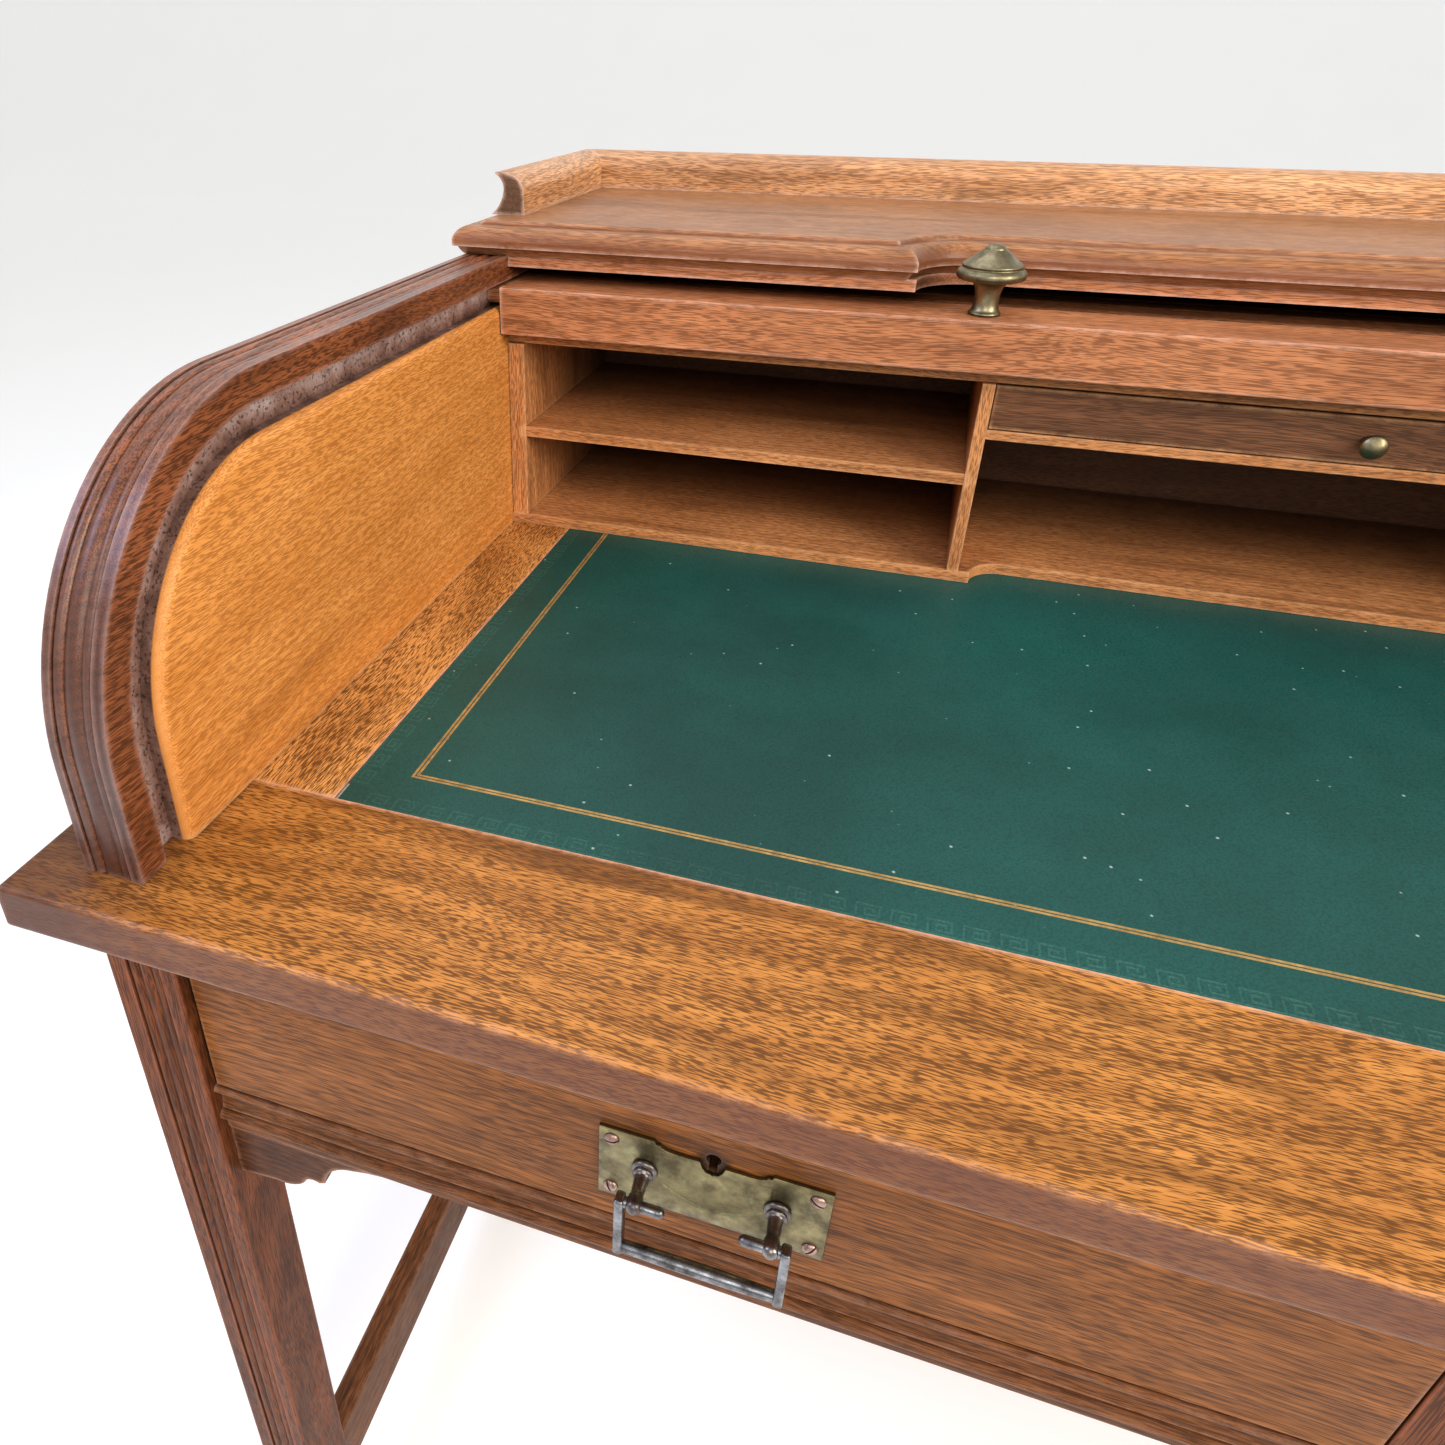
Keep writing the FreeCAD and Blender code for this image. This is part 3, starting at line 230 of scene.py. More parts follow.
def oak(name, grain, light, dark, pore, worn, shift, roughness=0.40, wear=0.6, corner_shade=0.55, rings=5.0,
        pith=(0.055, 0.09), streak=0.45, pore_amount=0.7, end_tone="#2c1a14", rim_tone=None, extra=None,
        sheen=0.06, heart_depth=0.45, dash_run=165.0, gleam=0.2):
    """Ring-porous oak under an old shellac polish: short dark pores that lie along the grain, faint growth
    rings, uneven stain in streaks and patches, darker end grain, rubbed pale arrises, painted shade in the
    corners."""
    material, tree = blank_material(name)
    coords = add(tree, "TexCoord")
    place = coords.outputs["Object"]
    turned = add(tree, "Mapping", {"Vector": place, "Rotation": GRAIN[grain], "Location": shift})

    # the grain wanders a few millimetres from side to side along the board
    wander = add(tree, "Mapping", {"Vector": turned, "Scale": (5.0, 11.0, 11.0)})
    wander = add(tree, "TexNoise", {"Vector": wander, "Scale": 1.0, "Detail": 1.0})
    wander = add(tree, "VectorMath", {0: wander.outputs["Color"], 1: (0.0, 0.020, 0.020)},
                 operation="MULTIPLY")
    board = add(tree, "VectorMath", {0: wander, 1: turned}, operation="ADD")

    # growth rings 5 mm apart, 7.5 on the top, round a pith line that leans through the board
    parts = add(tree, "SeparateXYZ", {"Vector": board})
    lean = add(tree, "Math", {0: parts.outputs["X"], 1: 0.045, 2: pith[1]}, operation="MULTIPLY_ADD")
    deep = add(tree, "Math", {0: parts.outputs["Z"], 1: lean}, operation="ADD")
    wide = add(tree, "Math", {0: parts.outputs["Y"], 1: pith[0]}, operation="ADD")
    spot = add(tree, "CombineXYZ", {"X": 0.0, "Y": wide, "Z": deep})
    radius = add(tree, "VectorMath", {0: spot}, operation="LENGTH")
    turns = add(tree, "Math", {0: radius.outputs["Value"], 1: 1000.0 / rings}, operation="MULTIPLY")
    ring = add(tree, "Math", {0: turns, 1: 1.0}, operation="FLOORED_MODULO")
    early = add(tree, "ValToRGB", {"Fac": ring}, stops=[(0.0, 0.6), (1.0, 0.6), (0.3, 1.0), (0.65, 0.1)])

    # pores: dark dashes 6 to 17 mm long and 0.6 mm wide, wider than real ones so that they show, and
    # crowded in the early wood of each ring
    dash = add(tree, "Mapping", {"Vector": board, "Scale": (dash_run, 1750.0, 1750.0)})
    dash = add(tree, "TexNoise", {"Vector": dash, "Scale": 1.0, "Detail": 0.6, "Roughness": 0.5})
    crowd = add(tree, "Math", {0: early, 1: 0.09, 2: dash}, operation="MULTIPLY_ADD")
    pores = add(tree, "MapRange", {"Value": crowd, "From Min": 0.50, "From Max": 0.62})
    fibre = add(tree, "Mapping", {"Vector": board, "Scale": (60.0, 1500.0, 1500.0)})
    fibre = add(tree, "TexNoise", {"Vector": fibre, "Scale": 1.0, "Detail": 2.0, "Roughness": 0.6})

    # stain: slow patches, streaks along the grain, and a few dark heart streaks
    cloud = add(tree, "TexNoise", {"Vector": board, "Scale": 9.0, "Detail": 5.0, "Roughness": 0.65})
    run = add(tree, "Mapping", {"Vector": board, "Scale": (4.0, 90.0, 90.0)})
    run = add(tree, "TexNoise", {"Vector": run, "Scale": 1.0, "Detail": 5.0, "Roughness": 0.65})
    both = add(tree, "Math", {0: run, 1: streak}, operation="MULTIPLY")
    both = add(tree, "Math", {0: cloud, 1: 1.0 - streak, 2: both}, operation="MULTIPLY_ADD")
    both = add(tree, "MapRange", {"Value": both, "From Min": 0.36, "From Max": 0.64})
    depth = add(tree, "Math", {0: early, 1: 0.22, 2: -0.40}, operation="MULTIPLY_ADD")
    depth = add(tree, "Math", {0: fibre, 1: 0.70, 2: depth}, operation="MULTIPLY_ADD")
    depth = add(tree, "Math", {0: both, 1: 0.85, 2: depth}, operation="MULTIPLY_ADD", use_clamp=True)
    # the float, vector and colour sockets of a mix share names, so the colour ones go by number
    body = add(tree, "Mix", {0: depth, 6: tone(light), 7: tone(dark)}, data_type="RGBA")
    heart = add(tree, "Mapping", {"Vector": board, "Scale": (2.2, 26.0, 26.0)})
    heart = add(tree, "TexNoise", {"Vector": heart, "Scale": 1.0, "Detail": 4.0, "Roughness": 0.7})
    heart = add(tree, "MapRange", {"Value": heart, "From Min": 0.55, "From Max": 0.70, "To Max": heart_depth})
    body = add(tree, "Mix", {0: heart, 6: body.outputs[2], 7: tone(pore)}, data_type="RGBA")
    dark_pores = add(tree, "Math", {0: pores, 1: pore_amount}, operation="MULTIPLY")
    wood = add(tree, "Mix", {0: dark_pores, 6: body.outputs[2], 7: tone(pore)}, data_type="RGBA")

    # end grain drinks more stain, and so do the edges of a board
    facing = add(tree, "SeparateXYZ", {"Vector": coords.outputs["Normal"]})
    end = add(tree, "Math", {0: facing.outputs[grain.upper()]}, operation="ABSOLUTE")
    end = add(tree, "MapRange", {"Value": end, "From Min": 0.35, "From Max": 0.95, "To Max": 0.8})
    wood = add(tree, "Mix", {0: end, 6: wood.outputs[2], 7: tone(end_tone)}, data_type="RGBA")
    if rim_tone:
        level = add(tree, "Math", {0: facing.outputs["Z"]}, operation="ABSOLUTE")
        level = add(tree, "MapRange", {"Value": level, "From Min": 0.85, "From Max": 0.25, "To Max": 0.78})
        wood = add(tree, "Mix", {0: level, 6: wood.outputs[2], 7: tone(rim_tone)}, data_type="RGBA")

    # wear: arrises rubbed through the polish, broken up by noise; painted shade darkens the corners
    patch = add(tree, "TexNoise", {"Vector": place, "Scale": 70.0, "Detail": 6.0, "Roughness": 0.75})
    edge = add(tree, "AmbientOcclusion", {"Distance": 0.0030}, inside=True, samples=4)
    edge = add(tree, "MapRange", {"Value": edge.outputs["AO"], "From Min": 0.94, "From Max": 0.62})
    edge = add(tree, "Math", {0: edge, 1: patch}, operation="MULTIPLY")
    edge = add(tree, "MapRange", {"Value": edge, "From Min": 0.22, "From Max": 0.50, "To Max": wear})
    wood = add(tree, "Mix", {0: edge, 6: wood.outputs[2], 7: tone(worn)}, data_type="RGBA")
    # painted shade: ambient occlusion darkens the corners and the joins between parts
    nook = add(tree, "AmbientOcclusion", {"Distance": 0.0055}, samples=4)
    nook = add(tree, "MapRange", {"Value": nook.outputs["AO"], "From Min": 0.70, "From Max": 0.30,
                                  "To Max": corner_shade})
    wood = add(tree, "Mix", {0: nook, 6: wood.outputs[2], 7: tone(CORNER_SHADE_TONE)}, data_type="RGBA")
    if extra:
        wood = extra(tree, place, wood.outputs[2])

    gloss = add(tree, "MapRange", {"Value": patch, "From Min": 0.3, "From Max": 0.7,
                                   "To Min": roughness - 0.08, "To Max": roughness + 0.12})
    sunk = add(tree, "Math", {0: pores, 1: -1.0, 2: 1.0}, operation="MULTIPLY_ADD")
    relief = add(tree, "Bump", {"Height": sunk, "Strength": 0.30, "Distance": 0.0002})
    skin = add(tree, "BsdfPrincipled", {"Base Color": wood.outputs[2], "Roughness": gloss, "Normal": relief,
                                        "IOR": 1.5, "Specular IOR Level": gleam, "Coat Weight": sheen,
                                        "Coat Roughness": 0.3})
    close_material(tree, skin)
    return material


# ---------------------------------------------------------------- leather and metals
def hide(name, colour, deep, roughness, dusty):
    """Skiver leather dyed dark green: a pebbled grain about 1.3 mm across, faint scuffs and dust specks."""
    material, tree = blank_material(name)
    place = add(tree, "TexCoord").outputs["Object"]
    bend = add(tree, "TexNoise", {"Vector": place, "Scale": 300.0, "Detail": 2.0})
    bent = add(tree, "VectorMath", {0: bend.outputs["Color"], 1: (0.0012, 0.0012, 0.0012)},
               operation="MULTIPLY")
    bent = add(tree, "VectorMath", {0: bent, 1: place}, operation="ADD")
    pebble = add(tree, "TexVoronoi", {"Vector": bent, "Scale": 760.0})
    cloud = add(tree, "TexNoise", {"Vector": place, "Scale": 5.0, "Detail": 5.0, "Roughness": 0.6})
    scuff = add(tree, "TexNoise", {"Vector": place, "Scale": 24.0, "Detail": 8.0, "Roughness": 0.75})
    shade = add(tree, "MapRange", {"Value": cloud, "From Min": 0.35, "From Max": 0.65})
    dyed = add(tree, "Mix", {0: shade, 6: tone(colour), 7: tone(deep)}, data_type="RGBA")
    valley = add(tree, "MapRange", {"Value": pebble.outputs["Distance"], "From Min": 0.35, "From Max": 0.75,
                                    "To Max": 0.35})
    grained = add(tree, "Mix", {0: valley, 6: dyed.outputs[2], 7: tone("#0d2420")}, data_type="RGBA")
    fleck = add(tree, "TexVoronoi", {"Vector": place, "Scale": 62.0})
    fleck = add(tree, "MapRange", {"Value": fleck.outputs["Distance"], "From Min": 0.060, "From Max": 0.03,
                                   "To Max": dusty})
    specked = add(tree, "Mix", {0: fleck, 6: grained.outputs[2], 7: tone("#9fb5ac")}, data_type="RGBA")
    gloss = add(tree, "MapRange", {"Value": scuff, "From Min": 0.35, "From Max": 0.65,
                                   "To Min": roughness - 0.06, "To Max": roughness + 0.10})
    relief = add(tree, "Bump", {"Height": pebble.outputs["Distance"], "Strength": 0.35, "Distance": 0.0003},
                 invert=True)
    skin = add(tree, "BsdfPrincipled", {"Base Color": specked.outputs[2], "Roughness": gloss,
                                        "Normal": relief, "IOR": 1.48, "Specular IOR Level": 0.3})
    close_material(tree, skin)
    return material


def old_metal(name, bright, dull, bloom, bloom_amount, roughness, metallic=1.0, coarse=1.0, crease=False):
    """Metal under its own tarnish: bright where hands rub it, dull in the hollows, with a patchy bloom."""
    material, tree = blank_material(name)
    place = add(tree, "TexCoord").outputs["Object"]
    cloud = add(tree, "TexNoise", {"Vector": place, "Scale": 110.0 * coarse, "Detail": 5.0,
                                   "Roughness": 0.65})
    fine = add(tree, "TexNoise", {"Vector": place, "Scale": 900.0, "Detail": 4.0, "Roughness": 0.7})
    spread = add(tree, "MapRange", {"Value": cloud, "From Min": 0.34, "From Max": 0.66})
    coat = add(tree, "Mix", {0: spread, 6: tone(bright), 7: tone(dull)}, data_type="RGBA")
    nook = add(tree, "AmbientOcclusion", {"Distance": 0.006}, samples=4)
    nook = add(tree, "MapRange", {"Value": nook.outputs["AO"], "From Min": 0.7, "From Max": 0.25,
                                  "To Max": 0.55})
    deep = add(tree, "Mix", {0: nook, 6: coat.outputs[2], 7: tone("#1c1612")}, data_type="RGBA")
    patch = add(tree, "TexNoise", {"Vector": place, "Scale": 160.0, "Detail": 6.0, "Roughness": 0.75})
    patch = add(tree, "MapRange", {"Value": patch, "From Min": 0.55, "From Max": 0.68,
                                   "To Max": bloom_amount})
    bloomed = add(tree, "Mix", {0: patch, 6: deep.outputs[2], 7: tone(bloom)}, data_type="RGBA")
    if crease:
        # painted shadow: a dark line along the lower edge of the plate's hanging crescent
        line = add(tree, "Attribute", attribute_name="swag_shade")
        bloomed = add(tree, "Mix", {0: line.outputs["Fac"], 6: bloomed.outputs[2], 7: tone("#221b10")},
                      data_type="RGBA")
    gloss = add(tree, "MapRange", {"Value": cloud, "From Min": 0.3, "From Max": 0.7,
                                   "To Min": roughness - 0.10, "To Max": roughness + 0.14})
    relief = add(tree, "Bump", {"Height": fine, "Strength": 0.12, "Distance": 0.0002})
    skin = add(tree, "BsdfPrincipled", {"Base Color": bloomed.outputs[2], "Metallic": metallic,
                                        "Roughness": gloss, "Normal": relief})
    close_material(tree, skin)
    return material


def plain_cloth(name, colour):
    """Unbleached canvas: a plain weave, its threads 2 mm apart, coarser than real ones so that they show."""
    material, tree = blank_material(name)
    place = add(tree, "TexCoord").outputs["Object"]
    warp = add(tree, "TexWave", {"Vector": place, "Scale": 160.0}, bands_direction="X")
    weft = add(tree, "TexWave", {"Vector": place, "Scale": 160.0}, bands_direction="Y")
    weave = add(tree, "Math", {0: warp.outputs["Fac"], 1: weft.outputs["Fac"]}, operation="MULTIPLY")
    cloth = add(tree, "Mix", {0: weave, 6: tone("#5c4e38"), 7: tone(colour)}, data_type="RGBA")
    relief = add(tree, "Bump", {"Height": weave, "Strength": 0.5, "Distance": 0.0003})
    skin = add(tree, "BsdfPrincipled", {"Base Color": cloth.outputs[2], "Roughness": 0.9, "Normal": relief})
    close_material(tree, skin)
    return material


# ---------------------------------------------------------------- what a user may change
def colour_setting(name, description, code):
    return bpy.props.FloatVectorProperty(name=name, description=description, size=4, subtype="COLOR", min=0,
                                         max=1, default=tone(code))


def length_setting(name, description, default, least=0.0):
    return bpy.props.FloatProperty(name=name, description=description, default=default, min=least,
                                   unit="LENGTH")


class DeskOakSettings(bpy.types.PropertyGroup):
    top_light: colour_setting("Top, light", "Late wood of the desktop", "#cf8b42")
    top_dark: colour_setting("Top, dark", "Early wood of the desktop", "#995b22")
    frame_light: colour_setting("Frame, light", "Rails, aprons and stretchers", "#84502b")
    frame_dark: colour_setting("Frame, dark", "Darker stain of the frame", "#523017")
    wear: bpy.props.FloatProperty(name="Wear", description="How far the arrises are rubbed", default=0.6,
                                  min=0.0, max=1.0, subtype="FACTOR")


class DeskLeatherSettings(bpy.types.PropertyGroup):
    colour: colour_setting("Leather", "Dye of the hide", "#1a544c")
    gold_inset: length_setting("Gold line inset", "From the leather's edge to the gold line", 0.0280)
    gold_width: length_setting("Gold line width", "Width of each of the two gold lines", 0.0014, 0.0002)
    key_cell: length_setting("Key stroke", "Width of the blind tooled key's strokes", 0.00125, 0.0005)


class DeskFittingSettings(bpy.types.PropertyGroup):
    swag_rise: length_setting("Swag rise", "How far the plate's hanging crescent stands out", 0.0014)
    turning_steps: bpy.props.IntProperty(name="Turning steps", default=64, min=16, max=256,
                                         description="Faces round each turned fitting")


# ---------------------------------------------------------------- pieces
class DESK_OT_finish_oak(bpy.types.Operator):
    """Gives every oak, steel and cloth part of the frame its finish"""
    bl_idname = "desk.finish_oak"
    bl_label = "Finish the Woodwork"

    def execute(self, context):
        chosen = context.scene.desk_oak
        wear = chosen.wear
        # oak under old shellac: warm brown with dark open pores, lighter where hands or no stain reached it
        top = dict(light=chosen.top_light, dark=chosen.top_dark, pore="#54300f", worn="#e3ac8c",
                   wear=min(1.0, wear * 1.5), pore_amount=0.85, rings=7.5, rim_tone="#502616", corner_shade=0.7,
                   heart_depth=0.8)
        side_board = dict(top, light="#eaa65c", dark="#b67437", heart_depth=0.3)
        plain = dict(light=chosen.frame_light, dark=chosen.frame_dark, pore="#2b150a", worn="#b98d74",
                     wear=wear, pore_amount=0.65, dash_run=80.0, gleam=0.06)
        front = dict(light="#9b5e2b", dark="#673d1a", pore="#2f190b", worn="#b98d74", wear=wear, streak=0.7,
                     pore_amount=0.65, dash_run=60.0, gleam=0.08)
        leg = dict(light="#7a4323", dark="#4a2611", pore="#200f08", worn="#a8654a", wear=wear, streak=0.7,
                   pore_amount=0.65, dash_run=60.0, gleam=0.05)
        bracket = dict(plain, light="#683e24", dark="#432615")
        lining = dict(light="#e89e53", dark="#c77d35", pore="#8a4c1b", worn="#f0c08a", wear=wear,
                      pore_amount=0.55, end_tone="#d08a48", corner_shade=0.45)
        inner = dict(light="#dc965c", dark="#ab6d3f", pore="#4a2812", worn="#e6af7c", wear=wear,
                     roughness=0.5, pore_amount=0.55, end_tone="#c5844e")
        little = dict(inner, light="#835537", dark="#533421", pore="#2b180d", streak=0.8, dash_run=60.0)
        case = dict(light="#a15d37", dark="#5f331c", pore="#2c150b", worn="#d8ada0", wear=wear * 0.45,
                    roughness=0.34, sheen=0.5, end_tone="#3a211a")
        gallery = dict(light="#bf8455", dark="#8c5a34", pore="#4a2912", worn="#ecc6b0", wear=wear,
                       roughness=0.36, sheen=0.2, pore_amount=0.6, rim_tone="#774327", dash_run=90.0)
        # the rails take a lighter copy of the gallery oak: a painted highlight standing in for the sky's
        # sheen on them
        sheen_lit_rails = dict(gallery, light="#eab27f", dark="#c08656", rim_tone=None)
        rail = dict(light="#d48c5c", dark="#a86943", pore="#4f2a16", worn="#e6bba5", wear=wear,
                    pore_amount=0.6, dash_run=90.0)
        raw = dict(light="#b08a5c", dark="#86602f", pore="#4a3218", worn="#c9ab80", wear=0.2,
                   pore_amount=0.5, roughness=0.7, sheen=0.0, end_tone="#8a6238")
        slats = dict(light="#6b3f22", dark="#452613", pore="#231108", worn="#9c6b45", wear=wear)

        def roll_dust(tree, place, wood):
            return groove_dust(tree, place, wood, ROLL_WALL_X)

        def lining_dust(tree, place, wood):
            return groove_dust(tree, place, wood, LINING_WALL_X)

        # name, grain, where in the tree the board was cut, recipe, nodes
        boards = (
            ("desktop_oak_front", "x", (0.1, 0.21, -0.70), dict(top, pith=(0.03, 0.10), extra=roll_foot_dirt),
             ["top_front_board"]),
            ("desktop_oak_back", "x", (0.7, -0.2, -0.68), top, ["top_back_board"]),
            ("desktop_oak_side", "y", (0.31, 0.44, -0.72), side_board, pair("top_side_board")),
            ("golden_lining_oak", "y", (0.5, 0.2, -0.8), dict(lining, pith=(0.26, 0.05), extra=lining_dust),
             pair("groove_lining")),
            ("fumed_roll_oak", "y", (0.2, 0.1, -0.6), dict(case, pith=(0.3, 0.1), extra=roll_dust),
             pair("roll_side")),
            ("case_back_oak", "x", (0.4, 0.3, -0.9), case, ["case_back"]),
            ("gallery_board_oak", "x", (0.9, 0.1, -0.93), gallery, ["gallery_board"]),
            ("gallery_rail_oak", "x", (0.2, 0.33, -0.97), sheen_lit_rails, ["gallery_back_rail"]),
            ("gallery_return_oak", "y", (0.3, 0.51, -0.97), sheen_lit_rails, pair("gallery_side_rail")),
            ("frieze_oak", "x", (0.55, 0.05, -0.9), rail, ["frieze_rail"]),
            ("lead_rail_oak", "x", (0.15, 0.25, -0.88), dict(rail, pith=(0.1, 0.12)), ["lead_rail"]),
            ("tambour_oak", "x", (0.35, 0.15, -0.88), slats, ["tambour_slats"]),
            ("tambour_tail_oak", "x", (0.05, 0.45, -0.8), slats, ["tambour_tail_slats"]),
            ("pigeonhole_oak", "x", (0.62, 0.27, -0.8), dict(inner, extra=recess_shade),
             ["pigeonhole_base", "pigeonhole_shelves", "pigeonhole_top", "pigeonhole_back",
              "inner_drawer_shelf"]),
            ("pigeonhole_upright_oak", "z", (0.12, 0.17, -0.3), dict(inner, extra=recess_shade),
             ["pigeonhole_ends", "pigeonhole_dividers"]),
            ("inner_drawer_oak", "x", (0.32, 0.07, -0.85), little, ["inner_drawer_front"]),
            ("drawer_front_oak", "x", (0.42, 0.26, -0.62),
             dict(front, pith=(0.02, 0.11), extra=keyhole_stain), pair("drawer_front")),
            ("front_rail_oak", "x", (0.22, 0.36, -0.55), plain,
             ["front_rail", "back_apron", "cross_stretcher"]),
            ("leg_oak", "z", (0.52, 0.16, -0.1), leg, ["centre_stile"] + pair("front_leg", "back_leg")),
            ("side_frame_oak", "y", (0.82, 0.06, -0.4), plain, pair("side_apron", "side_stretcher")),
            ("bracket_oak", "x", (0.72, 0.31, -0.5), bracket, ["rail_brackets"]),
            ("plain_drawer_oak", "y", (0.13, 0.3, -0.6), raw,
             ["drawer_runners", "top_ground", "inner_drawer_tray"] + pair("drawer_carcase", "drawer_bottom")),
        )
        for name, grain, shift, recipe, nodes in boards:
            finish = oak(name, grain, shift=shift, **recipe)
            for node in nodes:
                dress(node, finish)
        # cast iron, rough and rusty in patches, as it was never polished
        iron = old_metal("lock_case_iron", "#5a5856", "#2f2b29", "#6b3f28", 0.4, 0.5)
        for node in pair("drawer_lock"):
            dress(node, iron)
        dress("tambour_canvas", plain_cloth("tambour_canvas_cloth", "#a8967a"))
        return {"FINISHED"}


KEY_UNIT = (
    "#########...",
    "#.......#...",
    "#..####.#...",
    "#..#..#.#...",
    "#..#....#...",
    "#..######...",
    "#...........",
    "############",
)


TOOLED, CUT_EDGE = 1, 2  # the leather's material slots; slot 0 is the plain hide


class DESK_OT_leather(bpy.types.Operator):
    """Lays the tooled leather in the framed top"""
    bl_idname = "desk.leather"
    bl_label = "Lay the Leather"

    def execute(self, context):
        chosen = context.scene.desk_leather
        low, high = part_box("leather_panel")
        width, length = high.x - low.x, high.y - low.y
        cell = chosen.key_cell
        columns, rows = round(width / cell), round(length / cell)
        bm = bmesh.new()
        bmesh.ops.create_grid(bm, x_segments=columns, y_segments=rows, size=0.5)
        bmesh.ops.scale(bm, vec=(width, length, 1.0), verts=bm.verts[:])
        bmesh.ops.translate(bm, vec=(low + high) / 2 * Vector((1, 1, 0)) + Vector((0, 0, high.z)),
                            verts=bm.verts[:])
        middle = (low + high) / 2
        step_x, step_y = width / columns, length / rows
        band = len(KEY_UNIT)
        period = len(KEY_UNIT[0])
        start = 0.6 * MM  # from the edge to the key band
        field, strokes = [], []
        for face in bm.faces:
            spot = face.calc_center_median()
            from_x = width / 2 - abs(spot.x - middle.x)
            from_y = length / 2 - abs(spot.y - middle.y)
            if from_x < 0.9 * cell:
                face.material_index = CUT_EDGE
            if min(from_x, from_y) > (band + 3) * cell:
                field.append(face)
                continue
            along_front = from_y < from_x
            across = int((min(from_x, from_y) - start) / (step_y if along_front else step_x))
            reach = spot.x - low.x if along_front else spot.y - low.y
            along = int(reach / (step_x if along_front else step_y)) % period
            corner = max(from_x, from_y) < (band + 2) * cell
            if min(from_x, from_y) > start and across < band and not corner:
                if KEY_UNIT[band - 1 - across][along] == "#":
                    strokes.append(face)
        bmesh.ops.dissolve_faces(bm, faces=field, use_verts=True)
        for face in strokes:
            if face.is_valid:
                face.material_index = TOOLED
        pressed = [face for face in strokes if face.is_valid]
        bmesh.ops.inset_region(bm, faces=pressed, thickness=0.18 * MM, depth=-0.16 * MM, use_even_offset=True,
                               use_boundary=True)
        rim = [edge for edge in bm.edges if edge.is_boundary]
        skirt = bmesh.ops.extrude_edge_only(bm, edges=rim)
        fall = [item for item in skirt["geom"] if isinstance(item, bmesh.types.BMVert)]
        bmesh.ops.translate(bm, vec=(0, 0, low.z - high.z), verts=fall)
        for item in skirt["geom"]:
            if isinstance(item, bmesh.types.BMFace):
                item.material_index = CUT_EDGE
        bmesh.ops.recalc_face_normals(bm, faces=bm.faces[:])
        green = hide("green_skiver_leather", chosen.colour, "#14423b", 0.46, 0.8)
        tooled = hide("blind_tooled_leather", "#2f6257", "#20493f", 0.55, 0.2)
        cut_edge = hide("cut_leather_edge", "#b3aea2", "#8d877b", 0.8, 0.0)
        sheet = finish_piece(bm, "leather_writing_surface", "desk", (green, tooled, cut_edge),
                             nodes=("leather_panel",))

        gold = old_metal("gold_leaf_tooling", "#c9a25e", "#957440", "#5f5c3c", 0.40, 0.45, metallic=0.45,
                         coarse=2.0)
        bm = bmesh.new()
        inset = chosen.gold_inset
        for index in range(2):
            inner = inset + index * (chosen.gold_width + 0.7 * MM)
            bmesh.ops.create_grid(bm, x_segments=1, y_segments=1, size=0.5)
            fresh = [face for face in bm.faces if not face.tag]
            verts = list({vert for face in fresh for vert in face.verts})
            bmesh.ops.scale(bm, vec=(width - 2 * inner, length - 2 * inner, 1.0), verts=verts)
            bmesh.ops.translate(bm, vec=(middle.x, middle.y, high.z + 0.03 * MM), verts=verts)
            bmesh.ops.inset_region(bm, faces=fresh, thickness=chosen.gold_width, depth=0.0,
                                   use_even_offset=True, use_boundary=True)
            bmesh.ops.delete(bm, geom=fresh, context="FACES")
            for face in bm.faces:
                face.tag = True
        bmesh.ops.solidify(bm, geom=bm.faces[:], thickness=0.02 * MM)
        bmesh.ops.recalc_face_normals(bm, faces=bm.faces[:])
        finish_piece(bm, "gold_tooled_lines", "desk", (gold,))
        return {"FINISHED"}


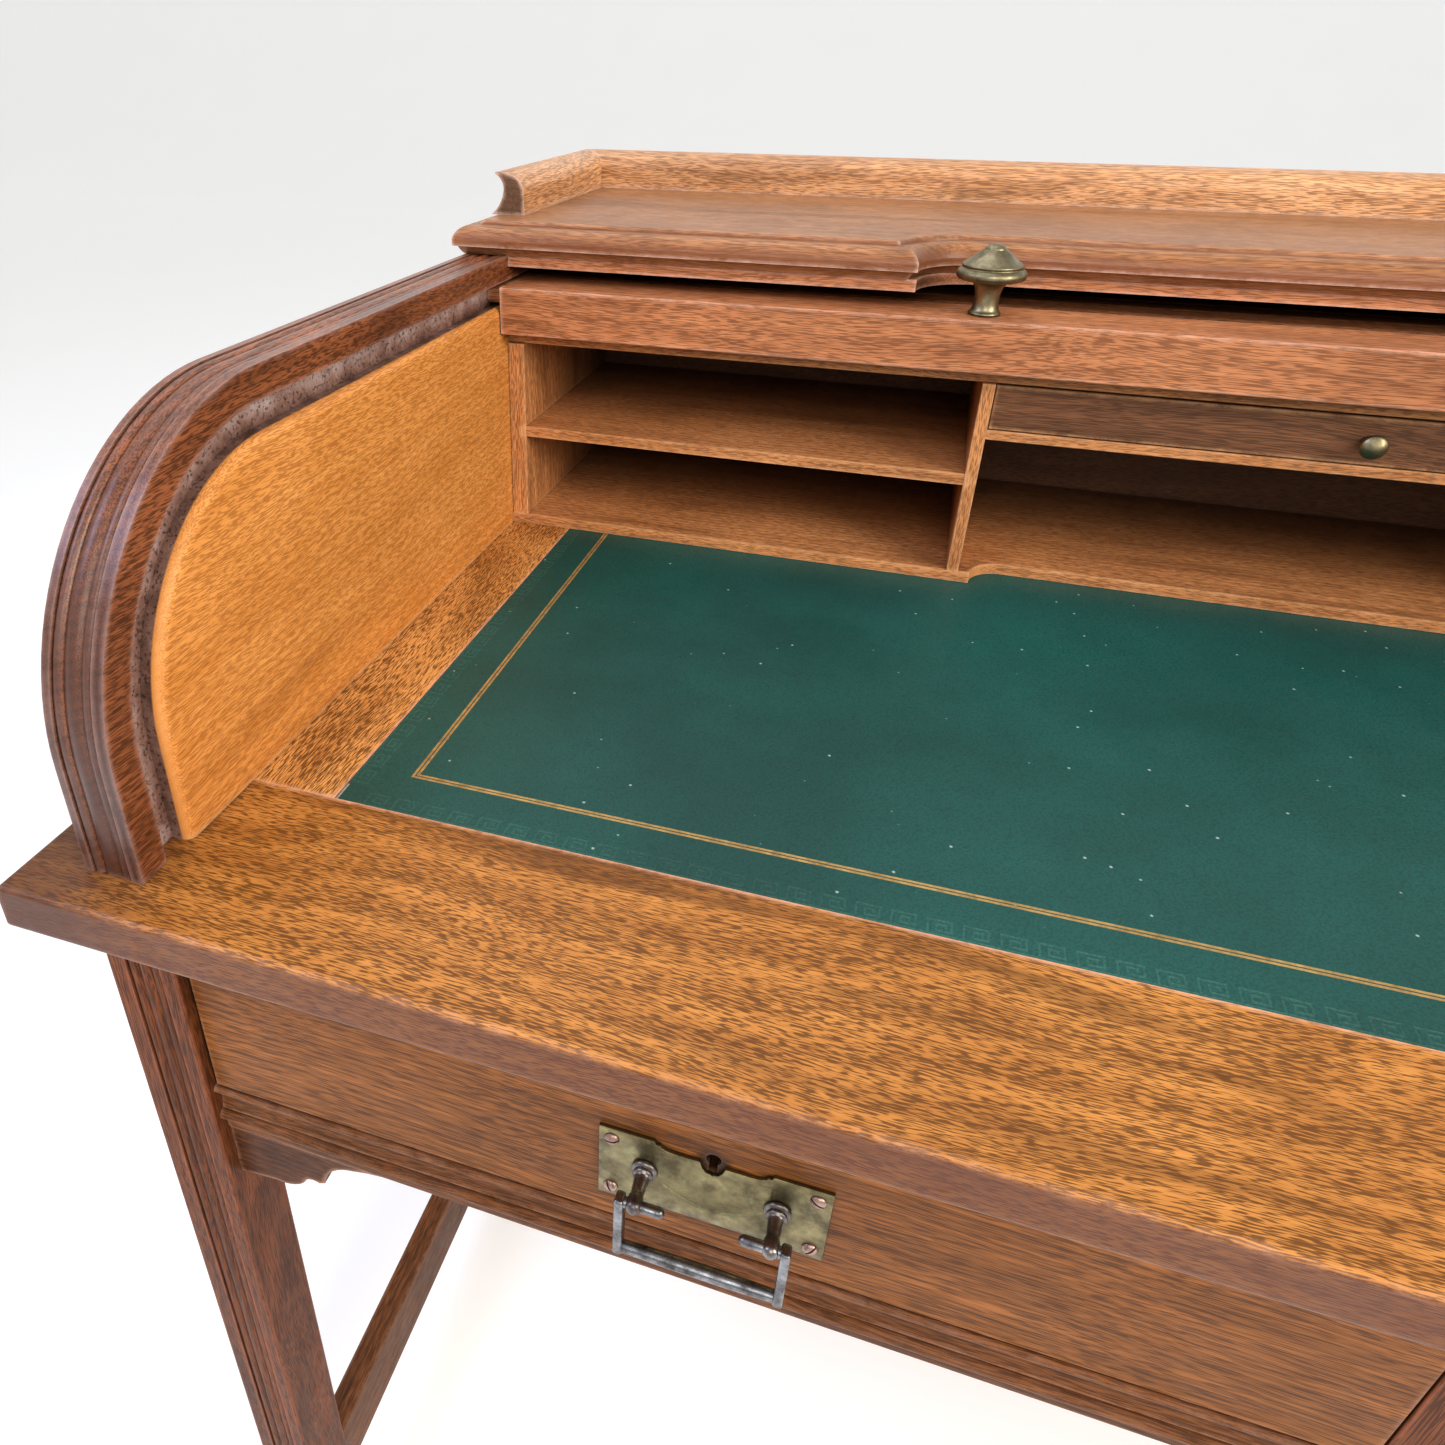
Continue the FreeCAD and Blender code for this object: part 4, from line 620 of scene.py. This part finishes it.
class DESK_OT_knobs(bpy.types.Operator):
    """Turns the two brass knobs of the tambour and the small drawer's knob"""
    bl_idname = "desk.knobs"
    bl_label = "Turn the Knobs"

    def execute(self, context):
        steps = context.scene.desk_fittings.turning_steps
        brass = old_metal("antique_brass", "#9a9072", "#6a6046", "#5a4a38", 0.35, 0.36)
        for side in SIDES:
            node = "tambour_knob_" + side
            low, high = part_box(node)
            middle = (low + high) / 2
            profile = [
                (0.0, 0.0), (0.0, 9.4), (0.5, 9.8), (1.2, 9.9), (1.9, 9.6), (2.3, 8.9), (4.0, 8.0),
                (7.0, 7.5), (10.0, 7.4), (13.0, 7.7), (15.6, 8.3), (18.0, 9.4), (19.6, 11.0), (20.5, 13.0),
                (20.8, 15.4), (21.0, 17.6), (21.7, 19.6), (22.8, 20.7), (24.2, 21.0), (25.6, 20.8),
                (26.9, 19.9), (27.8, 18.6), (28.1, 18.0), (28.5, 17.9), (28.9, 18.2), (29.5, 18.5),
                (30.2, 18.3), (30.8, 17.4), (32.6, 14.6), (34.8, 11.8), (37.0, 9.0), (38.4, 7.3),
                (38.8, 6.4), (39.2, 6.3), (39.9, 5.9), (40.9, 4.6), (41.6, 2.9), (41.9, 1.2), (42.0, 0.0),
            ]
            bm = bmesh.new()
            turn_profile(bm, profile, Vector((middle.x, middle.y, low.z)), Vector((0, 0, 1)), steps)
            finish_piece(bm, "brass_knob_" + side, "tambour", (brass,), nodes=(node,), sharp=50)
        low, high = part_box("inner_drawer_knob")
        middle = (low + high) / 2
        profile = [
            (0.0, 0.0), (0.0, 3.6), (0.8, 3.6), (1.6, 3.2), (3.2, 2.6), (4.8, 2.5), (6.4, 2.7), (7.6, 3.4),
            (8.6, 4.5), (9.4, 6.0), (10.4, 7.2), (11.6, 7.4), (12.7, 6.9), (13.6, 5.9), (14.6, 4.4),
            (15.4, 2.8), (15.9, 1.2), (16.0, 0.0),
        ]
        bm = bmesh.new()
        turn_profile(bm, profile, Vector((middle.x, high.y, middle.z)), Vector((0, -1, 0)), steps)
        finish_piece(bm, "small_brass_knob", "inner_drawer", (brass,), nodes=("inner_drawer_knob",),
                     sharp=50)
        return {"FINISHED"}


SWAG_REACH, SWAG_LOW, SWAG_SAG = 28.0, -11.5, 15.0  # half width, lowest point and sag of the crescent, in mm
SWAG_STEP = 0.5  # width in mm of the faces that shape it
SWAG_ROWS = range(-34, 36)  # those faces' rows, from the middle of the plate


class DESK_OT_pull_plates(bpy.types.Operator):
    """Cuts and embosses the brass plates of the drawer handles"""
    bl_idname = "desk.pull_plates"
    bl_label = "Emboss the Pull Plates"

    def execute(self, context):
        brass = old_metal("olive_tarnished_brass", "#8b815c", "#544b36", "#7d9270", 0.35, 0.33, coarse=0.8,
                          crease=True)
        rise_out = context.scene.desk_fittings.swag_rise
        for side in SIDES:
            node = "pull_plate_" + side
            low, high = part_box(node)
            middle = (low + high) / 2
            half, rise = (high.x - low.x) / 2 / MM, (high.z - low.z) / 2 / MM
            dip = rise - 4.6  # the top edge between the scrolls
            right_half = [
                (0.0, dip - 6.9), (2.6, dip - 6.2), (4.6, dip - 3.4), (5.6, dip), (16.5, dip),
                (19.9, dip + 0.2), (21.6, rise - 3.9), (23.0, rise - 3.2), (23.9, rise - 1.9),
                (25.5, rise - 2.0), (26.5, rise), (half, rise), (half, -rise), (half * 0.75, -rise + 0.8),
                (half * 0.5, -rise + 1.2), (half * 0.25, -rise + 1.5), (0.0, -rise + 1.6),
            ]
            outline = right_half + [(-x, z) for x, z in reversed(right_half) if x > 0.0]
            bm = bmesh.new()
            corners = [bm.verts.new(Vector((middle.x + x * MM, high.y, middle.z + z * MM)))
                       for x, z in outline]
            face = bm.faces.new(corners)
            raised = bmesh.ops.extrude_face_region(bm, geom=[face])
            fronts = [item for item in raised["geom"] if isinstance(item, bmesh.types.BMVert)]
            bmesh.ops.translate(bm, vec=(0, low.y - high.y, 0), verts=fronts)
            bmesh.ops.recalc_face_normals(bm, faces=bm.faces[:])
            front_rim = [edge for edge in bm.edges if all(abs(v.co.y - low.y) < 0.01 * MM for v in edge.verts)
                         and edge.calc_face_angle(0) > 0.5]
            bmesh.ops.bevel(bm, geom=front_rim, offset=0.35 * MM, offset_type="OFFSET", affect="EDGES",
                            segments=2, profile=0.5, material=-1)
            self.emboss(bm, middle, low.y, rise_out)
            finish_piece(bm, "brass_plate_" + side, "drawer_" + side, (brass,), nodes=(node,),
                         sharp=50)
        return {"FINISHED"}

    def emboss(self, bm, middle, face_y, rise):
        """Raises the hanging crescent between the posts: a crisp lower edge that fades out upwards, with a
        painted shadow just under it.
        """
        for index in range(-int(SWAG_REACH / SWAG_STEP), int(SWAG_REACH / SWAG_STEP) + 1):
            cut(bm, (middle.x + index * SWAG_STEP * MM, 0, 0), (1, 0, 0))
        for index in SWAG_ROWS:
            cut(bm, (0, 0, middle.z + index * SWAG_STEP * MM), (0, 0, 1))
        # painted shadow under the crescent's lower edge, kept per vertex as swag_shade
        stain = bm.verts.layers.float.new("swag_shade")
        for vert in bm.verts:
            out = (vert.co.x - middle.x) / MM
            up = (vert.co.z - middle.z) / MM
            if abs(vert.co.y - face_y) > 0.01 * MM or abs(out) > SWAG_REACH - 1.0 or up > 17.0:
                continue
            gap = up - (SWAG_LOW + SWAG_SAG * (out / SWAG_REACH) ** 2)
            ends = 1.0 - (abs(out) / SWAG_REACH) ** 4
            shadow = 1.0 - min(1.0, abs(gap + 0.5) / 1.3)
            vert[stain] = max(vert[stain], 0.85 * shadow * ends)
            onset = max(0.0, min(1.0, gap / 0.8))
            fade = max(0.0, 1.0 - max(0.0, gap) / 22.0)
            vert.co.y -= rise * onset * fade * ends
            if -1.7 < gap < -0.1:
                vert.co.y += 0.45 * MM * ends


def cut(bm, spot, across):
    bmesh.ops.bisect_plane(bm, geom=bm.verts[:] + bm.edges[:] + bm.faces[:], plane_co=spot, plane_no=across)


POST_X, POST_Z = 30.0, 3.0  # from the middle of a plate, in mm
SCREW_X, SCREW_Z = 46.0, 17.25
SLOT_HALF = 0.45  # half the width of a screwdriver slot, in mm


class DESK_OT_fixings(bpy.types.Operator):
    """Turns the handles' posts and the slotted screws of the plates"""
    bl_idname = "desk.fixings"
    bl_label = "Fit the Posts and Screws"

    def execute(self, context):
        steps = context.scene.desk_fittings.turning_steps
        steel = old_metal("post_steel", "#8a8482", "#443c3a", "#5a3b2e", 0.35, 0.30)
        screw_metal = old_metal("screw_steel", "#b09488", "#8a6f66", "#4c332a", 0.4, 0.35)
        post = [
            (0.0, 0.0), (0.0, 5.8), (0.5, 6.1), (1.2, 6.1), (1.9, 5.7), (2.2, 5.0), (2.5, 4.5), (3.0, 4.8),
            (3.7, 4.9), (4.3, 4.5), (4.7, 3.8), (5.2, 3.5), (8.0, 3.2), (11.6, 3.0), (13.4, 2.9),
            (13.9, 3.3), (14.8, 3.5), (16.5, 3.8), (18.2, 3.9), (19.8, 3.7), (20.7, 3.2), (21.3, 2.5),
            (21.9, 1.6), (22.2, 0.8), (22.3, 0.0),
        ]
        dome = [(-1.0, 0.0), (-1.0, 3.4), (0.0, 3.6), (0.6, 3.45), (1.2, 2.9), (1.7, 2.0), (2.0, 1.0),
                (2.1, 0.0)]
        for side in SIDES:
            node = "handle_fixings_" + side
            low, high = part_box("pull_plate_" + side)
            middle = (low + high) / 2
            bm = bmesh.new()
            for end in (-1, 1):
                foot = Vector((middle.x + end * POST_X * MM, low.y, middle.z + POST_Z * MM))
                turn_profile(bm, post, foot, Vector((0, -1, 0)), steps)
            finish_piece(bm, "handle_posts_" + side, "drawer_" + side, (steel,), nodes=(node,),
                         sharp=50)
            bm = bmesh.new()
            for index, (end, level) in enumerate(((-1, -1), (-1, 1), (1, -1), (1, 1))):
                head = Vector((middle.x + end * SCREW_X * MM, low.y, middle.z + level * SCREW_Z * MM))
                turn_profile(bm, dome, head, Vector((0, -1, 0)), 32)
                self.slot_cut(bm, head, math.radians((25, 100, -40, 65)[index]))
            finish_piece(bm, "plate_screws_" + side, "drawer_" + side, (screw_metal,), sharp=40)
        return {"FINISHED"}

    def slot_cut(self, bm, head, angle):
        """Presses the screwdriver slot into one dome: the faces under the slot go down together."""
        across = Vector((math.cos(angle), 0, math.sin(angle)))

        def near():
            return [face for face in bm.faces if (face.calc_center_median() - head).length < 5 * MM]

        for offset in (-SLOT_HALF * MM, SLOT_HALF * MM):
            dome = near()
            geom = dome + list({e for f in dome for e in f.edges}) + list({v for f in dome for v in f.verts})
            bmesh.ops.bisect_plane(bm, geom=geom, plane_co=head + across * offset, plane_no=across)
        inside = [face for face in near()
                  if abs((face.calc_center_median() - head).dot(across)) < SLOT_HALF * MM
                  and face.calc_center_median().y < head.y - 0.2 * MM]
        sunk = bmesh.ops.extrude_face_region(bm, geom=inside)
        floor = [item for item in sunk["geom"] if isinstance(item, bmesh.types.BMVert)]
        bmesh.ops.translate(bm, vec=(0, 0.9 * MM, 0), verts=floor)
        bmesh.ops.delete(bm, geom=[face for face in inside if face.is_valid], context="FACES")
        for face in bm.faces:
            face.tag = True


class DESK_OT_bails(bpy.types.Operator):
    """Forges the hanging handles"""
    bl_idname = "desk.bails"
    bl_label = "Forge the Bails"

    def execute(self, context):
        steps = context.scene.desk_fittings.turning_steps
        steel = old_metal("bail_steel", "#94969b", "#343130", "#33241e", 0.3, 0.27)
        for side in SIDES:
            node = "bail_" + side
            low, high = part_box(node)
            middle = (low + high) / 2
            pin_z = high.z - 3.1 * MM  # the axis it swings on
            grip_z = pin_z - 33.0 * MM
            bm = bmesh.new()
            for end in (-1, 1):
                outer = middle.x + end * 38.6 * MM
                arm = bmesh.ops.create_cube(bm, size=1.0)
                verts = arm["verts"]
                tall = high.z - low.z
                bmesh.ops.scale(bm, vec=(4.4 * MM, 6.8 * MM, tall), verts=verts)
                bmesh.ops.translate(bm, vec=(outer - end * 2.2 * MM, middle.y, middle.z), verts=verts)
                edges = list({edge for vert in verts for edge in vert.link_edges})
                bmesh.ops.bevel(bm, geom=edges, offset=1.4 * MM, offset_type="OFFSET", affect="EDGES",
                                segments=4, profile=0.5, material=-1)
                for face in bm.faces:
                    face.tag = True
                pin = [(0.0, 0.0), (0.0, 2.5), (17.0, 2.5), (18.0, 2.25), (18.8, 1.6), (19.3, 0.8),
                       (19.5, 0.0)]
                foot = Vector((outer - end * 3.0 * MM, middle.y, pin_z))
                turn_profile(bm, pin, foot, Vector((-end, 0, 0)), steps // 2)
            grip = [(0.0, 0.0)] + [(share * 72.8, 2.75 + 0.55 * math.sin(math.pi * share))
                                   for share in [index / 16 for index in range(17)]] + [(72.8, 0.0)]
            foot = Vector((middle.x - 36.4 * MM, middle.y, grip_z))
            turn_profile(bm, grip, foot, Vector((1, 0, 0)), steps // 2)
            finish_piece(bm, "steel_bail_" + side, node, (steel,), nodes=(node,), sharp=40)
        return {"FINISHED"}


class DESK_OT_stage(bpy.types.Operator):
    """Sets the pale floor, the soft lights and the camera"""
    bl_idname = "desk.stage"
    bl_label = "Set the Stage"

    def execute(self, context):
        scene = context.scene
        material, tree = blank_material("pale_floor")
        place = add(tree, "TexCoord").outputs["Object"]
        soft = add(tree, "TexNoise", {"Vector": place, "Scale": 3.0, "Detail": 2.0})
        pale = add(tree, "Mix", {0: soft, 6: tone("#f8f8f7"), 7: tone("#f4f4f3")}, data_type="RGBA")
        skin = add(tree, "BsdfPrincipled", {"Base Color": pale.outputs[2], "Roughness": 0.9,
                                            "Emission Color": (1.0, 1.0, 1.0, 1.0),
                                            "Emission Strength": 0.18})
        close_material(tree, skin)
        bm = bmesh.new()
        bend = [(7.0 + 4.0 * math.sin(turn), 4.0 - 4.0 * math.cos(turn))
                for turn in (math.pi / 2 * index / 32 for index in range(33))]
        line = [(-60.0, 0.0)] + bend + [(11.0, 12.0)]
        rows = [[bm.verts.new((x, y, z)) for x in (-80.0, 80.0)] for y, z in line]
        for near, far in zip(rows, rows[1:]):
            bm.faces.new((near[0], near[1], far[1], far[0])).smooth = True
        mesh = bpy.data.meshes.new("floor")
        bm.to_mesh(mesh)
        bm.free()
        mesh.materials.append(material)
        floor = bpy.data.objects.new("floor", mesh)
        scene.collection.objects.link(floor)

        world = bpy.data.worlds.new("studio")
        world.use_nodes = True
        world.node_tree.nodes["Background"].inputs[0].default_value = tone("#ffffff")
        world.node_tree.nodes["Background"].inputs[1].default_value = 0.62
        scene.world = world
        scene.view_settings.view_transform = "Standard"
        middle = Vector((0.0, 0.0, 0.8))
        for name, spot, size, power, colour in (
                ("right_window", (2.3, -1.4, 2.3), 1.6, 98.0, "#fff8ee"),
                ("front_window", (0.2, -2.6, 2.4), 1.6, 34.0, "#fffaf4"),
                ("sky_window", (-0.9, 0.5, 3.2), 2.0, 20.0, "#f2f5ff"),
                ("left_window", (-2.2, -1.2, 2.6), 1.3, 32.0, "#cdd6ff")):
            light = bpy.data.lights.new(name, "AREA")
            light.energy = power
            light.size = size
            light.color = tone(colour)[:3]
            lamp = bpy.data.objects.new(name, light)
            lamp.location = spot
            lamp.rotation_euler = (middle - Vector(spot)).to_track_quat("-Z", "Y").to_euler()
            scene.collection.objects.link(lamp)

        data = bpy.data.cameras.new("camera")
        data.sensor_width = 36.0
        data.lens = 25.91
        data.shift_x = 0.1014
        data.shift_y = -0.0452
        data.clip_start = 0.01
        camera = bpy.data.objects.new("camera", data)
        camera.location = (-0.2494, -0.6089, 1.0868)
        camera.rotation_euler = (math.radians(90.0 - 30.38), 0.0, math.radians(18.91))
        scene.collection.objects.link(camera)
        scene.camera = camera
        return {"FINISHED"}


class DESK_PT_panel(bpy.types.Panel):
    """The desk's settings and its makers"""
    bl_idname = "DESK_PT_panel"
    bl_label = "Roll Top Desk"
    bl_space_type = "VIEW_3D"
    bl_region_type = "UI"
    bl_category = "Roll Top Desk"

    def draw(self, context):
        for group in (context.scene.desk_oak, context.scene.desk_leather, context.scene.desk_fittings):
            box = self.layout.box()
            for name in group.bl_rna.properties.keys():
                if name not in ("rna_type", "name"):
                    box.prop(group, name)
        for maker in MAKERS:
            self.layout.operator(maker.bl_idname)


MAKERS = (DESK_OT_stage, DESK_OT_finish_oak, DESK_OT_leather, DESK_OT_knobs, DESK_OT_pull_plates,
          DESK_OT_fixings, DESK_OT_bails)
SETTINGS = {"desk_oak": DeskOakSettings, "desk_leather": DeskLeatherSettings,
            "desk_fittings": DeskFittingSettings}


def register():
    for group in SETTINGS.values():
        bpy.utils.register_class(group)
    for name, group in SETTINGS.items():
        setattr(bpy.types.Scene, name, bpy.props.PointerProperty(type=group))
    for maker in MAKERS:
        bpy.utils.register_class(maker)
    bpy.utils.register_class(DESK_PT_panel)


def unregister():
    bpy.utils.unregister_class(DESK_PT_panel)
    for maker in reversed(MAKERS):
        bpy.utils.unregister_class(maker)
    for name, group in SETTINGS.items():
        delattr(bpy.types.Scene, name)
        bpy.utils.unregister_class(group)


def main():
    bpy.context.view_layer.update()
    register()
    bpy.ops.desk.stage()
    bpy.ops.desk.finish_oak()
    bpy.ops.desk.leather()
    bpy.ops.desk.knobs()
    bpy.ops.desk.pull_plates()
    bpy.ops.desk.fixings()
    bpy.ops.desk.bails()


if __name__ == "__main__":
    main()
